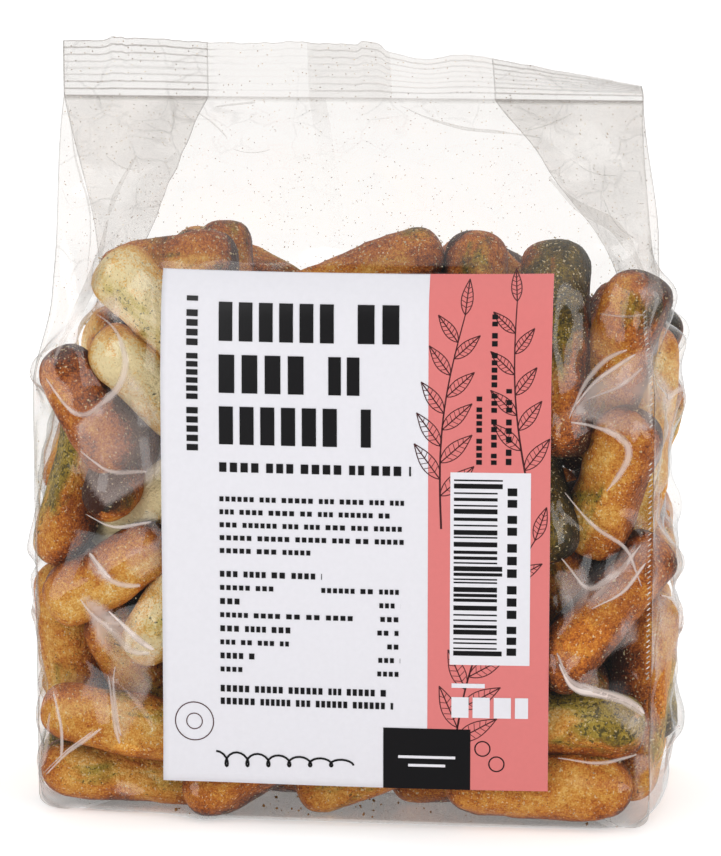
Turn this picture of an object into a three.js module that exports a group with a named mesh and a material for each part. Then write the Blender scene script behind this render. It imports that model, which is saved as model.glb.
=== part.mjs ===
// A sealed, clear, block-bottom bag filled with short stubby breadsticks, standing upright,
// with a rectangular paper label on its front. Millimetres, +Z up, front towards -Y.
//
// The bag is one closed solid whose walls sink a little between the sticks that press on them.
// Its sides fold inwards below the flat ribbed seal, and the seal's right end leans forward.

import * as THREE from 'three';

// Bag body
const HALF_WIDTH = 62;
const HALF_DEPTH = 30;
const EDGE_RADIUS = 4.5;
const CORNER_INSET_AT_FLOOR = 6.5;
const FRONT_BULGE = 3.2;
const BACK_BULGE = 3.4;
const SIDE_BULGE = 5.2;

// Upper part, from where the side folds start up to the seal
const FOLD_START = 88;
const RIGHT_FOLD_START = 101;
const FOLD_SHARE = 0.86;
const GABLE_POWER = 1.5;
const FILL_TOP = 104;
const FILL_ROUNDING = 0.35;
const LEFT_WAIST = 3;
const RIGHT_WAIST = 1.8;
const LEFT_SEAL_SHRINK = 1;
const RIGHT_SEAL_SHRINK = 4.5;

// Top seal
const SEAL_BASE = 144;
const SEAL_HEIGHT = 12.5;
const SEAL_HALF_THICKNESS = 0.5;
const RIB_COUNT = 8;
const RIB_RELIEF = 0.2;
const DIP_X = 18;
const DIP_WIDTH = 16;
const DIP_DEPTH = 0.9;
const TRIM_WAVE = 0.25;
const TRIM_PITCH = 5.5;
const BEND_RUN = 3;
const LEAN_START = -40;
const LEAN_END = 57;
const LEAN_MAX = THREE.MathUtils.degToRad(76);

// Paper label
const LABEL_WIDTH = 77.4;
const LABEL_HEIGHT = 103;
const LABEL_THICKNESS = 0.3;
const LABEL_GAP = 0.3;
const LABEL_CENTRE_X = 3;
const LABEL_BASE = 9.2;

// Sticks that can be felt through the film
const STICK_RADIUS = 5.6;
const SAG_LIMIT = 2.2;
const SAG_BLEND = 1;

// Grid
const FRONT_COLUMNS = 28;
const SIDE_COLUMNS = 14;
const EDGE_ROWS = 3;
const BODY_ROWS = 24;
const SHOULDER_ROWS = 15;
const LABEL_COLUMNS = 14;
const LABEL_ROWS = 28;

// Each stick: its centre across the panel and its height, its tilt in degrees, its length.
const FRONT_STICKS = [
  [-34.5, 98.5, -47, 41],
  [-36.5, 82, -52, 42],
  [-50.5, 84, -69, 28],
  [-39, 67, 33, 42],
  [-47, 48, 24, 32],
  [-36, 49.5, 47, 42],
  [-43.5, 25, -78, 36],
  [-41, 10, -25, 42],
  [43.5, 94, -87, 44],
  [53.6, 91.5, -101, 40],
  [51.5, 70, -89, 34],
  [46, 47, -67, 35],
  [49.5, 43, 58, 40],
  [41.5, 21.8, 0, 38],
  [39.5, 8.6, 1, 38],
  [-38, 109, 8, 32],
  [-1, 111, 20, 44],
  [24, 107, -90, 36],
  [-59, 70, -89, 43],
  [-59, 37, -89, 40],
];
const RIGHT_STICKS = [
  [-10, 76, -89, 48],
  [10, 74, -38, 36],
  [-10, 25, -92, 44],
  [11, 54, 28, 34],
  [10, 37, -18, 34],
  [9, 22, 24, 34],
  [10, 8, -4, 36],
];
const LEFT_STICKS = [
  [-15, 69, 89, 44],
  [-15, 31, 91, 38],
  [7, 72, 36, 38],
  [8, 54, -24, 36],
  [7, 37, 26, 38],
  [8, 21, -12, 36],
  [5, 7.4, 3, 40],
];
const BACK_STICKS = [
  [-44, 94, 62, 42],
  [-24, 100, -20, 42],
  [8, 98, 34, 44],
  [36, 100, -28, 42],
  [52, 84, 80, 40],
  [-50, 62, -74, 42],
  [-28, 76, 12, 42],
  [2, 74, -42, 44],
  [30, 76, 24, 42],
  [-30, 54, 48, 42],
  [-4, 50, -8, 42],
  [26, 52, -56, 42],
  [50, 46, 84, 42],
  [-46, 26, 26, 40],
  [-18, 30, -64, 40],
  [10, 28, 18, 42],
  [38, 24, -30, 42],
  [-34, 10, -4, 42],
  [6, 11, 8, 42],
  [44, 9, -6, 36],
];

const clamp = THREE.MathUtils.clamp;
const smoothstep = THREE.MathUtils.smoothstep;
const lerp = THREE.MathUtils.lerp;

/** Half the bag's width at a height, on its left (-1) or right (+1) side. */
function halfWidth(side, z) {
  const waist = side < 0 ? LEFT_WAIST : RIGHT_WAIST;
  const shrink = side < 0 ? LEFT_SEAL_SHRINK : RIGHT_SEAL_SHRINK;
  const drawnIn = waist * smoothstep(z, 88, 106);
  return HALF_WIDTH - lerp(drawnIn, shrink, smoothstep(z, 112, SEAL_BASE));
}

/** How far a side has folded inwards at a height, as a share of half the depth. */
function foldShare(side, z) {
  const start = side < 0 ? FOLD_START : RIGHT_FOLD_START;
  return clamp((z - start) / (SEAL_BASE - start), 0, 1);
}

/** Half the depth between the front and back creases at a height. */
function creaseDepth(z) {
  const t = clamp((z - FOLD_START) / (SEAL_BASE - FOLD_START), 0, 1);
  return lerp(HALF_DEPTH, SEAL_HALF_THICKNESS, Math.pow(t, GABLE_POWER));
}

/** Half the depth at the middle of the front or back panel at a height. */
function middleDepth(bulge, z) {
  const t = clamp((z - FILL_TOP) / (SEAL_BASE - FILL_TOP), 0, 1);
  const sunk = Math.hypot(t, FILL_ROUNDING) - FILL_ROUNDING;
  const whole = Math.hypot(1, FILL_ROUNDING) - FILL_ROUNDING;
  return lerp(HALF_DEPTH + bulge, SEAL_HALF_THICKNESS, sunk / whole);
}

/** Depth of the front or back panel's surface, without sag. */
function panelDepth(bulge, x, z) {
  const side = x < 0 ? -1 : 1;
  const share = Math.abs(x) / halfWidth(side, z);
  const crease = creaseDepth(z);
  const middle = middleDepth(bulge, z);
  return crease + (middle - crease) * (1 - Math.pow(share, 2.2));
}

/** Sideways offset of a side panel's surface from its creases, without sag. */
function sideOffset(side, share, z) {
  const bulgeHeight = 1 - smoothstep(z, 76, 100);
  const bulge = SIDE_BULGE * (1 - Math.pow(share, 2.4)) * bulgeHeight;
  const fold = HALF_DEPTH * FOLD_SHARE * foldShare(side, z) * Math.pow(1 - share, 0.8);
  return bulge - fold;
}

/** Distance in a panel's plane from a point to the axis of a stick. */
function stickDistance(stick, across, height) {
  const [centreAcross, centreHeight, tilt, length] = stick;
  const angle = THREE.MathUtils.degToRad(tilt);
  const dx = across - centreAcross;
  const dz = height - centreHeight;
  const half = length / 2 - STICK_RADIUS;
  const along = clamp(dx * Math.cos(angle) + dz * Math.sin(angle), -half, half);
  return Math.hypot(dx - along * Math.cos(angle), dz - along * Math.sin(angle));
}

/** The smaller of two depths, rounded where they meet. */
function softMinimum(a, b) {
  const blend = clamp((SAG_BLEND - Math.abs(a - b)) / SAG_BLEND, 0, 1);
  return Math.min(a, b) - (blend * blend * SAG_BLEND) / 4;
}

/** How far the film sinks between the sticks behind one panel. */
function sag(sticks, across, height, share) {
  let depth = SAG_LIMIT;
  for (const stick of sticks) {
    const distance = Math.min(stickDistance(stick, across, height), STICK_RADIUS);
    const sink = STICK_RADIUS - Math.sqrt(STICK_RADIUS ** 2 - distance ** 2);
    depth = softMinimum(depth, sink);
  }
  const edge = 1 - smoothstep(share, 0.86, 1);
  const low = smoothstep(height, 4, 9);
  const high = 1 - smoothstep(height, 108, 120);
  return Math.max(0, depth) * edge * low * high;
}

/** Nought behind the label, rising to one a few millimetres outside it. */
function awayFromLabel(x, z) {
  const dx = Math.abs(x - LABEL_CENTRE_X) - LABEL_WIDTH / 2;
  const top = z - (LABEL_BASE + LABEL_HEIGHT);
  const bottom = LABEL_BASE - z;
  return smoothstep(Math.max(dx, top, bottom), 1.5, 6);
}

/** A point of the bag's wall: panel, place across it from -1 to 1, and height. */
function wallPoint(panel, s, z) {
  const share = Math.abs(s);
  const point = new THREE.Vector3(0, 0, z);
  if (panel === 'front' || panel === 'back') {
    const direction = panel === 'front' ? 1 : -1;
    const x = direction * s * halfWidth(direction * s < 0 ? -1 : 1, z);
    const bulge = panel === 'front' ? FRONT_BULGE : BACK_BULGE;
    const sticks = panel === 'front' ? FRONT_STICKS : BACK_STICKS;
    const away = panel === 'front' ? awayFromLabel(x, z) : 1;
    point.x = x;
    point.y = -direction * (panelDepth(bulge, x, z) - away * sag(sticks, x, z, share));
  } else {
    const side = panel === 'right' ? 1 : -1;
    const sticks = panel === 'right' ? RIGHT_STICKS : LEFT_STICKS;
    const y = side * s * creaseDepth(z);
    const low = 1 - smoothstep(z, 74, 92);
    const offset = sideOffset(side, share, z) - low * sag(sticks, y, z, share);
    point.x = side * (halfWidth(side, z) + offset);
    point.y = y;
  }
  return point;
}

/** A point of the rounded bottom edge; the angle runs from the floor up to the wall. */
function bottomEdgePoint(panel, s, angle) {
  const point = wallPoint(panel, s, EDGE_RADIUS);
  const corner = Math.pow(Math.abs(s), 6);
  const long = panel === 'front' || panel === 'back';
  const inward = 1 - Math.sin(angle);
  const cornerInset = CORNER_INSET_AT_FLOOR * inward;
  const insetX = lerp(long ? 0 : EDGE_RADIUS * inward, cornerInset, corner);
  const insetY = lerp(long ? EDGE_RADIUS * inward : 0, cornerInset, corner);
  point.x -= Math.sign(point.x) * insetX;
  point.y -= Math.sign(point.y) * insetY;
  point.z = EDGE_RADIUS * (1 - Math.cos(angle));
  return point;
}

/** The columns of the wall, once round from the left front crease. */
function wallColumns() {
  const columns = [];
  const panels = [
    ['front', FRONT_COLUMNS],
    ['right', SIDE_COLUMNS],
    ['back', FRONT_COLUMNS],
    ['left', SIDE_COLUMNS],
  ];
  for (const [panel, count] of panels) {
    for (let i = 0; i < count; i += 1) {
      columns.push([panel, -1 + (2 * i) / count]);
    }
  }
  return columns;
}

/** Forward lean of the seal at a place along it. */
function sealLean(x) {
  const share = clamp((x - LEAN_START) / (LEAN_END - LEAN_START), 0, 1);
  return LEAN_MAX * Math.pow(share, 1.6);
}

/** A point of the seal: place along it, height up it from 0 to 1, front (-1) or back (+1). */
function sealPoint(s, up, face) {
  const x = s * halfWidth(s < 0 ? -1 : 1, SEAL_BASE);
  const dip = DIP_DEPTH * Math.exp(-(((x - DIP_X) / DIP_WIDTH) ** 2));
  const run = up * (SEAL_HEIGHT - dip - TRIM_WAVE * Math.sin(x / TRIM_PITCH));
  const bend = clamp(run / BEND_RUN, 0, 1);
  const lean = sealLean(x);
  const bent = run < BEND_RUN ? (run * bend) / 2 : run - BEND_RUN / 2;
  const angle = lean * bend;
  const rib = RIB_RELIEF * Math.sin(up * RIB_COUNT * Math.PI * 2) * Math.sin(Math.PI * up);
  const half = SEAL_HALF_THICKNESS * face + rib;
  const forward = Math.sin(lean) * bent;
  const rise = run - (1 - Math.cos(lean)) * bent;
  return new THREE.Vector3(
    x,
    -forward + half * Math.cos(angle),
    SEAL_BASE + rise + half * Math.sin(angle),
  );
}

/** Collects points and triangles of one closed surface. */
class Shell {
  constructor() {
    this.positions = [];
    this.indices = [];
  }

  point(vector) {
    this.positions.push(vector.x, vector.y, vector.z);
    return this.positions.length / 3 - 1;
  }

  triangle(a, b, c) {
    this.indices.push(a, b, c);
  }

  /** Joins two rows of points; the rows run the same way, the second is above the first. */
  strip(lower, upper, closed) {
    const count = closed ? lower.length : lower.length - 1;
    for (let i = 0; i < count; i += 1) {
      const j = (i + 1) % lower.length;
      this.triangle(lower[i], lower[j], upper[j]);
      this.triangle(lower[i], upper[j], upper[i]);
    }
  }

  geometry() {
    const geometry = new THREE.BufferGeometry();
    geometry.setAttribute('position', new THREE.Float32BufferAttribute(this.positions, 3));
    geometry.setIndex(this.indices);
    geometry.computeVertexNormals();
    return geometry;
  }
}

/** The bag: floor, rounded bottom edge, walls, folded shoulders and seal. */
function bagGeometry() {
  const shell = new Shell();
  const columns = wallColumns();
  const rows = [];
  for (let i = 0; i < EDGE_ROWS; i += 1) {
    const angle = (i / EDGE_ROWS) * (Math.PI / 2);
    rows.push(columns.map(([panel, s]) => shell.point(bottomEdgePoint(panel, s, angle))));
  }
  for (let i = 0; i <= BODY_ROWS; i += 1) {
    const z = lerp(EDGE_RADIUS, FOLD_START, i / BODY_ROWS);
    rows.push(columns.map(([panel, s]) => shell.point(wallPoint(panel, s, z))));
  }
  for (let i = 1; i < SHOULDER_ROWS; i += 1) {
    const z = lerp(FOLD_START, SEAL_BASE, Math.pow(i / SHOULDER_ROWS, 0.92));
    rows.push(columns.map(([panel, s]) => shell.point(wallPoint(panel, s, z))));
  }
  for (let i = 1; i < rows.length; i += 1) {
    shell.strip(rows[i - 1], rows[i], true);
  }

  const floorCentre = shell.point(new THREE.Vector3(0, 0, 0));
  const floor = rows[0];
  for (let i = 0; i < floor.length; i += 1) {
    shell.triangle(floor[(i + 1) % floor.length], floor[i], floorCentre);
  }

  const sealRows = RIB_COUNT * 2;
  const front = [];
  const back = [];
  for (let k = 0; k <= sealRows; k += 1) {
    const frontRow = [];
    const backRow = [];
    for (let i = 0; i <= FRONT_COLUMNS; i += 1) {
      const s = -1 + (2 * i) / FRONT_COLUMNS;
      frontRow.push(shell.point(sealPoint(s, k / sealRows, -1)));
      backRow.push(shell.point(sealPoint(-s, k / sealRows, 1)));
    }
    front.push(frontRow);
    back.push(backRow);
  }
  for (let k = 1; k <= sealRows; k += 1) {
    shell.strip(front[k - 1], front[k], false);
    shell.strip(back[k - 1], back[k], false);
    shell.strip([front[k - 1].at(-1), back[k - 1][0]], [front[k].at(-1), back[k][0]], false);
    shell.strip([back[k - 1].at(-1), front[k - 1][0]], [back[k].at(-1), front[k][0]], false);
  }
  shell.strip(front[sealRows], [...back[sealRows]].reverse(), false);

  const rim = rows.at(-1);
  const corner = [0, FRONT_COLUMNS, FRONT_COLUMNS + SIDE_COLUMNS];
  corner.push(2 * FRONT_COLUMNS + SIDE_COLUMNS, rim.length);
  const run = (from, to) => {
    const part = [];
    for (let i = from; i <= to; i += 1) {
      part.push(rim[i % rim.length]);
    }
    return part;
  };
  shell.strip(run(corner[0], corner[1]), front[0], false);
  shell.strip(run(corner[2], corner[3]), back[0], false);
  closeFold(shell, run(corner[1], corner[2]), front[0].at(-1), back[0][0]);
  closeFold(shell, run(corner[3], corner[4]), back[0].at(-1), front[0][0]);
  return shell.geometry();
}

/** Closes a side fold under the end of the seal with two fans. */
function closeFold(shell, edge, first, last) {
  const half = Math.floor(edge.length / 2);
  for (let i = 0; i < edge.length - 1; i += 1) {
    shell.triangle(edge[i], edge[i + 1], i < half ? first : last);
  }
  shell.triangle(edge[half], last, first);
}

/** The label: a thin sheet that follows the front panel at a small gap. */
function labelGeometry() {
  const shell = new Shell();
  const across = LABEL_COLUMNS;
  const up = LABEL_ROWS;
  const rowAt = (k, offset) => {
    const row = [];
    for (let i = 0; i <= across; i += 1) {
      const x = LABEL_CENTRE_X + LABEL_WIDTH * (i / across - 0.5);
      const z = LABEL_BASE + LABEL_HEIGHT * (k / up);
      const y = -panelDepth(FRONT_BULGE, x, z);
      const slope = panelDepth(FRONT_BULGE, x, z + 0.5) - panelDepth(FRONT_BULGE, x, z - 0.5);
      const normal = new THREE.Vector3(0, -1, -slope).normalize();
      row.push(new THREE.Vector3(x, y, z).addScaledVector(normal, offset));
    }
    return row.map((vector) => shell.point(vector));
  };
  const outer = [];
  const inner = [];
  for (let k = 0; k <= up; k += 1) {
    outer.push(rowAt(k, LABEL_GAP + LABEL_THICKNESS));
    inner.push(rowAt(k, LABEL_GAP).reverse());
  }
  for (let k = 1; k <= up; k += 1) {
    shell.strip(outer[k - 1], outer[k], false);
    shell.strip(inner[k - 1], inner[k], false);
    shell.strip([outer[k - 1].at(-1), inner[k - 1][0]], [outer[k].at(-1), inner[k][0]], false);
    shell.strip([inner[k - 1].at(-1), outer[k - 1][0]], [inner[k].at(-1), outer[k][0]], false);
  }
  shell.strip(outer[up], [...inner[up]].reverse(), false);
  shell.strip([...inner[0]].reverse(), outer[0], false);
  return shell.geometry();
}

const bag = new THREE.Mesh(
  bagGeometry(),
  new THREE.MeshStandardMaterial({ color: '#c8a06a', roughness: 0.22, metalness: 0 }),
);
bag.name = 'bag';

const label = new THREE.Mesh(
  labelGeometry(),
  new THREE.MeshStandardMaterial({ color: '#efeef3', roughness: 0.45, metalness: 0 }),
);
label.name = 'label';

const model = new THREE.Group();
model.add(bag, label);

const bounds = new THREE.Box3().setFromObject(model);
model.position.set(
  -(bounds.min.x + bounds.max.x) / 2,
  -(bounds.min.y + bounds.max.y) / 2,
  -bounds.min.z,
);

export default model;
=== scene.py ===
"""A clear block-bottom bag of short grissini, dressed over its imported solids.

The film, the sticks inside it and the printed label are worked out in millimetres in the bag's
own axes (X to the right of the label, Y towards the back, Z up) and written to Blender in metres.
"""

import logging
import math
from dataclasses import dataclass, field
from enum import Enum, IntEnum
from functools import partial
from typing import Callable

import bpy
import numpy as np
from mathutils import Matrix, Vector


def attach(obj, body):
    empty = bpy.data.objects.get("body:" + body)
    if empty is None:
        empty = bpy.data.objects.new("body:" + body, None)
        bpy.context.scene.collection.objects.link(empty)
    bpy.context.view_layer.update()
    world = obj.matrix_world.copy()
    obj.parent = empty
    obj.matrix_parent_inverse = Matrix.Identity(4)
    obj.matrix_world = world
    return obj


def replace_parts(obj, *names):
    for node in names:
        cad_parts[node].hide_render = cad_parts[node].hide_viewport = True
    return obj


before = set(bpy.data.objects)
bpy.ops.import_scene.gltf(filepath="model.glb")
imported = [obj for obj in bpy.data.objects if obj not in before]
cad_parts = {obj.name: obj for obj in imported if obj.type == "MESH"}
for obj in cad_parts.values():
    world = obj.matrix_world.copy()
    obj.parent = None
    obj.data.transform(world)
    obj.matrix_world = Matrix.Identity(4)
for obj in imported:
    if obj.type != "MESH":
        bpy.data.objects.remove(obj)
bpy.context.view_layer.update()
LOG = logging.getLogger("bag")

MM = 0.001
FILM_LAYERS_SEEN_THROUGH = 48
FILLED_BAG = "bag_film_and_sticks"
LABEL_PAPER = "label_paper"
BAG_AXIS = np.array([0.0, 0.2, 0.0])
Array = np.ndarray


def linear(code: str) -> tuple[float, float, float, float]:
    """Turn an sRGB hex colour into linear light.

    Args:
        code: The colour as "#rrggbb".

    Returns:
        Red, green, blue and an alpha of one.
    """
    parts = [int(code[i:i + 2], 16) / 255 for i in (1, 3, 5)]
    light = [p / 12.92 if p <= 0.04045 else ((p + 0.055) / 1.055) ** 2.4 for p in parts]
    return (light[0], light[1], light[2], 1.0)


def smoothstep(value: Array, low: float, high: float) -> Array:
    """Ramp from nought at low to one at high with soft ends.

    Args:
        value: The values to ramp.
        low: Where the ramp starts.
        high: Where it ends.

    Returns:
        The ramped values.
    """
    t = np.clip((np.asarray(value, float) - low) / (high - low), 0, 1)
    return t * t * (3 - 2 * t)


def mix(a: Array, b: Array, share: Array) -> Array:
    """Blend from a to b by a share."""
    return a + (b - a) * share


def lattice_noise(x: Array, y: Array, period: float, seed: int) -> Array:
    """Smooth noise from minus one to one on a plane.

    Args:
        x: First coordinates, in mm.
        y: Second coordinates, in mm.
        period: Size of a lump, in mm.
        seed: Which noise it is.

    Returns:
        The noise at each place.
    """
    size = 64
    grid = np.random.default_rng(seed).uniform(-1, 1, (size, size))
    gx, gy = np.asarray(x) / period, np.asarray(y) / period
    ix, iy = np.floor(gx).astype(int), np.floor(gy).astype(int)
    fx, fy = smoothstep(gx - ix, 0, 1), smoothstep(gy - iy, 0, 1)
    corner = [[grid[(ix + i) % size, (iy + j) % size] for j in (0, 1)] for i in (0, 1)]
    return mix(mix(corner[0][0], corner[1][0], fx), mix(corner[0][1], corner[1][1], fx), fy)


def add_node(tree: bpy.types.NodeTree, kind: str, inputs: dict | list | None = None,
             stops: list | None = None, **settings: object) -> bpy.types.Node:
    """Add one shader node with its settings and links.

    Args:
        tree: The tree that gets the node.
        kind: Blender's name of the shader node type, without its first part.
        inputs: Values in the order of the sockets, or by socket name or number. A node or one of its
            sockets in place of a value feeds that input.
        stops: Places and hex colours of a colour ramp.
        **settings: The node's own properties.

    Returns:
        The new node.
    """
    node = tree.nodes.new("ShaderNode" + kind)
    for name, value in settings.items():
        setattr(node, name, value)
    for key, value in inputs.items() if isinstance(inputs, dict) else enumerate(inputs or []):
        value = value.outputs[0] if isinstance(value, bpy.types.Node) else value
        if isinstance(value, bpy.types.NodeSocket):
            tree.links.new(value, node.inputs[key])
        else:
            node.inputs[key].default_value = value
    if stops:
        elements = node.color_ramp.elements
        while len(elements) < len(stops):
            elements.new(1.0)
        for element, (place, colour) in zip(elements, stops):
            element.position = place
            element.color = linear(colour)
    return node


def new_material(name: str) -> tuple[bpy.types.Material, Callable[..., bpy.types.Node]]:
    """Make an empty node material.

    Args:
        name: The material's name.

    Returns:
        The material, and add_node for its tree.
    """
    material = bpy.data.materials.new(name)
    material.use_nodes = True
    material.node_tree.nodes.clear()
    return material, partial(add_node, material.node_tree)


def make_piece(name: str, points: Array, faces: list | Array, material: bpy.types.Material,
               smooth: bool = True) -> bpy.types.Object:
    """Make a mesh piece of the bag from points in the bag's own axes.

    Args:
        name: The piece's name.
        points: Its vertices in mm, one row each.
        faces: Vertex numbers of each face.
        material: Its finish.
        smooth: Whether its faces are shaded smooth.

    Returns:
        The new object, riding on the root body.
    """
    mesh = bpy.data.meshes.new(name)
    corners = np.asarray(faces, dtype=np.int32)
    mesh.vertices.add(len(points))
    mesh.vertices.foreach_set("co", ((points + BAG_AXIS) * MM).astype(np.float32).ravel())
    mesh.loops.add(corners.size)
    mesh.loops.foreach_set("vertex_index", corners.ravel())
    mesh.polygons.add(len(corners))
    mesh.polygons.foreach_set("loop_start", np.arange(len(corners), dtype=np.int32) * corners.shape[1])
    mesh.update(calc_edges=True)
    mesh.validate()
    mesh.polygons.foreach_set("use_smooth", np.full(len(mesh.polygons), smooth))
    mesh.materials.append(material)
    piece = bpy.data.objects.new(name, mesh)
    bpy.context.scene.collection.objects.link(piece)
    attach(piece, "root")
    LOG.info("%s: %d faces", name, len(mesh.polygons))
    return piece


def store(piece: bpy.types.Object, name: str, values: Array) -> None:
    """Keep one value or one vector for each vertex of a piece.

    Args:
        piece: The object.
        name: The attribute's name.
        values: One number, or three, for each vertex.
    """
    kind, key = ("FLOAT_VECTOR", "vector") if values.shape[-1] == 3 else ("FLOAT", "value")
    layer = piece.data.attributes.new(name, kind, "POINT")
    layer.data.foreach_set(key, values.astype(np.float32).ravel())


def grid_faces(rows: int, columns: int, closed: bool, start: int = 0) -> Array:
    """Four-sided faces of a grid of vertices.

    Args:
        rows: Number of vertex rows.
        columns: Number of vertices in a row.
        closed: Whether a row's end joins its start.
        start: Number of the first vertex.

    Returns:
        Vertex numbers, four for each face.
    """
    count = columns if closed else columns - 1
    lower = np.arange(rows - 1)[:, None] * columns
    here = np.arange(count)[None, :]
    right = (here + 1) % columns
    quads = [lower + here, lower + right, lower + columns + right, lower + columns + here]
    return np.stack(quads, axis=-1).reshape(-1, 4) + start


@dataclass
class Sheets:
    """Grids of points gathered into one piece, with what is stored at each point."""

    points: list[Array] = field(default_factory=list)
    faces: list[Array] = field(default_factory=list)
    marks: dict[str, list[Array]] = field(default_factory=dict)

    def add(self, grid: Array, closed: bool = False, flip: bool = False, **marks: Array) -> None:
        """Add one grid.

        Args:
            grid: Its points, rows by columns by three.
            closed: Whether a row's end joins its start.
            flip: Whether its faces look the other way.
            **marks: Attributes to store, by name, with a value or a vector for each point.
        """
        faces = grid_faces(*grid.shape[:2], closed, sum(len(p) for p in self.points))
        self.faces.append(faces[:, ::-1] if flip else faces)
        self.points.append(grid.reshape(-1, 3))
        for name, values in marks.items():
            self.marks.setdefault(name, []).append(values.reshape(grid[..., 0].size, -1))

    def piece(self, name: str, finish: bpy.types.Material, slot: str = FILLED_BAG) -> bpy.types.Object:
        """Make the piece.

        Args:
            name: Its name.
            finish: Its material.
            slot: The record's material slot; not used.

        Returns:
            The piece.
        """
        piece = make_piece(name, np.concatenate(self.points), np.concatenate(self.faces), finish)
        for key, values in self.marks.items():
            store(piece, key, np.concatenate(values))
        return piece


class Panel(IntEnum):
    """The four walls of the bag, in order round it from the left front crease."""

    FRONT = 0
    RIGHT = 1
    BACK = 2
    LEFT = 3


FRONT, RIGHT, BACK, LEFT = Panel
INWARD = np.array([[0, 1, 0], [-1, 0, 0], [0, -1, 0], [1, 0, 0]], float)


@dataclass(frozen=True)
class BagForm:
    """The bag's sizes in mm, and the smooth surface that its film follows."""

    half_width: float = 62.0
    half_depth: float = 30.0
    edge_radius: float = 4.5
    corner_inset: float = 6.5
    front_bulge: float = 3.2
    back_bulge: float = 3.4
    side_bulge: float = 5.2
    fold_start: float = 88.0
    right_fold_start: float = 101.0
    gable_power: float = 1.5
    fill_top: float = 104.0
    fill_rounding: float = 0.35
    left_waist: float = 3.0
    right_waist: float = 1.8
    left_seal_shrink: float = 1.0
    right_seal_shrink: float = 4.5
    waist_band: tuple[float, float] = (88, 106)
    shrink_start: float = 112.0
    side_flat_band: tuple[float, float] = (76, 100)
    panel_roundness: float = 2.2
    side_roundness: float = 2.4
    seal_base: float = 144.0
    seal_height: float = 12.3
    film_gap: float = 0.12

    def half_width_at(self, sign: Array, z: Array) -> Array:
        """Half the width on the left (-1) or right (+1) side at a height."""
        waist = np.where(sign < 0, self.left_waist, self.right_waist)
        shrink = np.where(sign < 0, self.left_seal_shrink, self.right_seal_shrink)
        drawn_in = waist * smoothstep(z, *self.waist_band)
        return self.half_width - mix(drawn_in, shrink, smoothstep(z, self.shrink_start, self.seal_base))

    def fold_share(self, sign: Array, z: Array) -> Array:
        """Share of half the depth by which the left (-1) or right (+1) side has folded in at a height."""
        start = np.where(sign < 0, self.fold_start, self.right_fold_start)
        return np.clip((z - start) / (self.seal_base - start), 0, 1)

    def crease_depth(self, z: Array) -> Array:
        """Half the depth between the front and back creases at a height."""
        t = np.clip((z - self.fold_start) / (self.seal_base - self.fold_start), 0, 1)
        return mix(self.half_depth, self.film_gap, t ** self.gable_power)

    def panel_depth(self, bulge: Array, x: Array, z: Array) -> Array:
        """Depth of the front or back surface at a place.

        Args:
            bulge: How far the panel swells in its middle.
            x: Place across the bag.
            z: Height.

        Returns:
            The distance from the bag's middle plane.
        """
        t = np.clip((z - self.fill_top) / (self.seal_base - self.fill_top), 0, 1)
        sunk = np.hypot(t, self.fill_rounding) - self.fill_rounding
        whole = math.hypot(1, self.fill_rounding) - self.fill_rounding
        middle = mix(self.half_depth + bulge, self.film_gap, sunk / whole)
        share = np.clip(np.abs(x) / self.half_width_at(np.sign(x), z), 0, 1)
        crease = self.crease_depth(z)
        return crease + (middle - crease) * (1 - share ** self.panel_roundness)

    def side_offset(self, sign: Array, share: Array, z: Array) -> Array:
        """Sideways offset of a side's surface from its creases.

        Args:
            sign: Minus one on the left side, one on the right.
            share: Place across the side, nought at its middle and one at its creases.
            z: Height.

        Returns:
            The offset, outwards above nought.
        """
        bulge = self.side_bulge * (1 - share ** self.side_roundness)
        bulge = bulge * (1 - smoothstep(z, *self.side_flat_band))
        return bulge - self.half_depth * self.fold_share(sign, z) * (1 - share)

    def wall(self, panel: Array, s: Array, z: Array) -> Array:
        """Points of the smooth wall.

        Args:
            panel: Number of the Panel of each column.
            s: Place of each column across its panel, from -1 to 1.
            z: Height of each point.

        Returns:
            The points, with X, Y and Z in the last axis.
        """
        is_long = panel % 2 == 0
        way = np.where(panel < 2, 1.0, -1.0)
        sign = np.where(is_long, np.sign(way * s), way)
        width = self.half_width_at(sign, z)
        x_long = way * s * width
        bulge = np.where(panel == FRONT, self.front_bulge, self.back_bulge)
        y_long = -way * self.panel_depth(bulge, x_long, z)
        x_side = way * (width + self.side_offset(way, np.abs(s), z))
        y_side = way * s * self.crease_depth(z)
        x = np.where(is_long, x_long, x_side)
        y = np.where(is_long, y_long, y_side)
        return np.stack([x, y, np.broadcast_to(z, x.shape)], axis=-1)


FORM = BagForm()


class Dough(Enum):
    """The doughs of the sticks; each is one piece of the scene."""

    PLAIN = "pale"
    TOMATO = "tomato"
    BASIL = "basil"


PLAIN, TOMATO, BASIL = Dough
HERBS = {PLAIN: -0.22, TOMATO: -0.2, BASIL: 0.38}


@dataclass
class Stick:
    """One breadstick: where it lies and how it was baked."""

    centre: Array
    axis: Array
    length: float
    radius: float
    dough: Dough
    bake: float
    # Direction of the side painted pale as if lit; the crust is painted darker round towards the far side
    # as painted shade.
    face: Array
    hold: float
    seed: int

    @property
    def half(self) -> float:
        """Half the length of its straight core."""
        return self.length / 2 - self.radius


@dataclass(frozen=True)
class WallRow:
    """A stick that presses on a wall: its place on the panel and its look."""

    across: float
    height: float
    tilt: float
    length: float
    radius: float
    dough: Dough
    bake: float
    sink: float = 0.0


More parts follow.
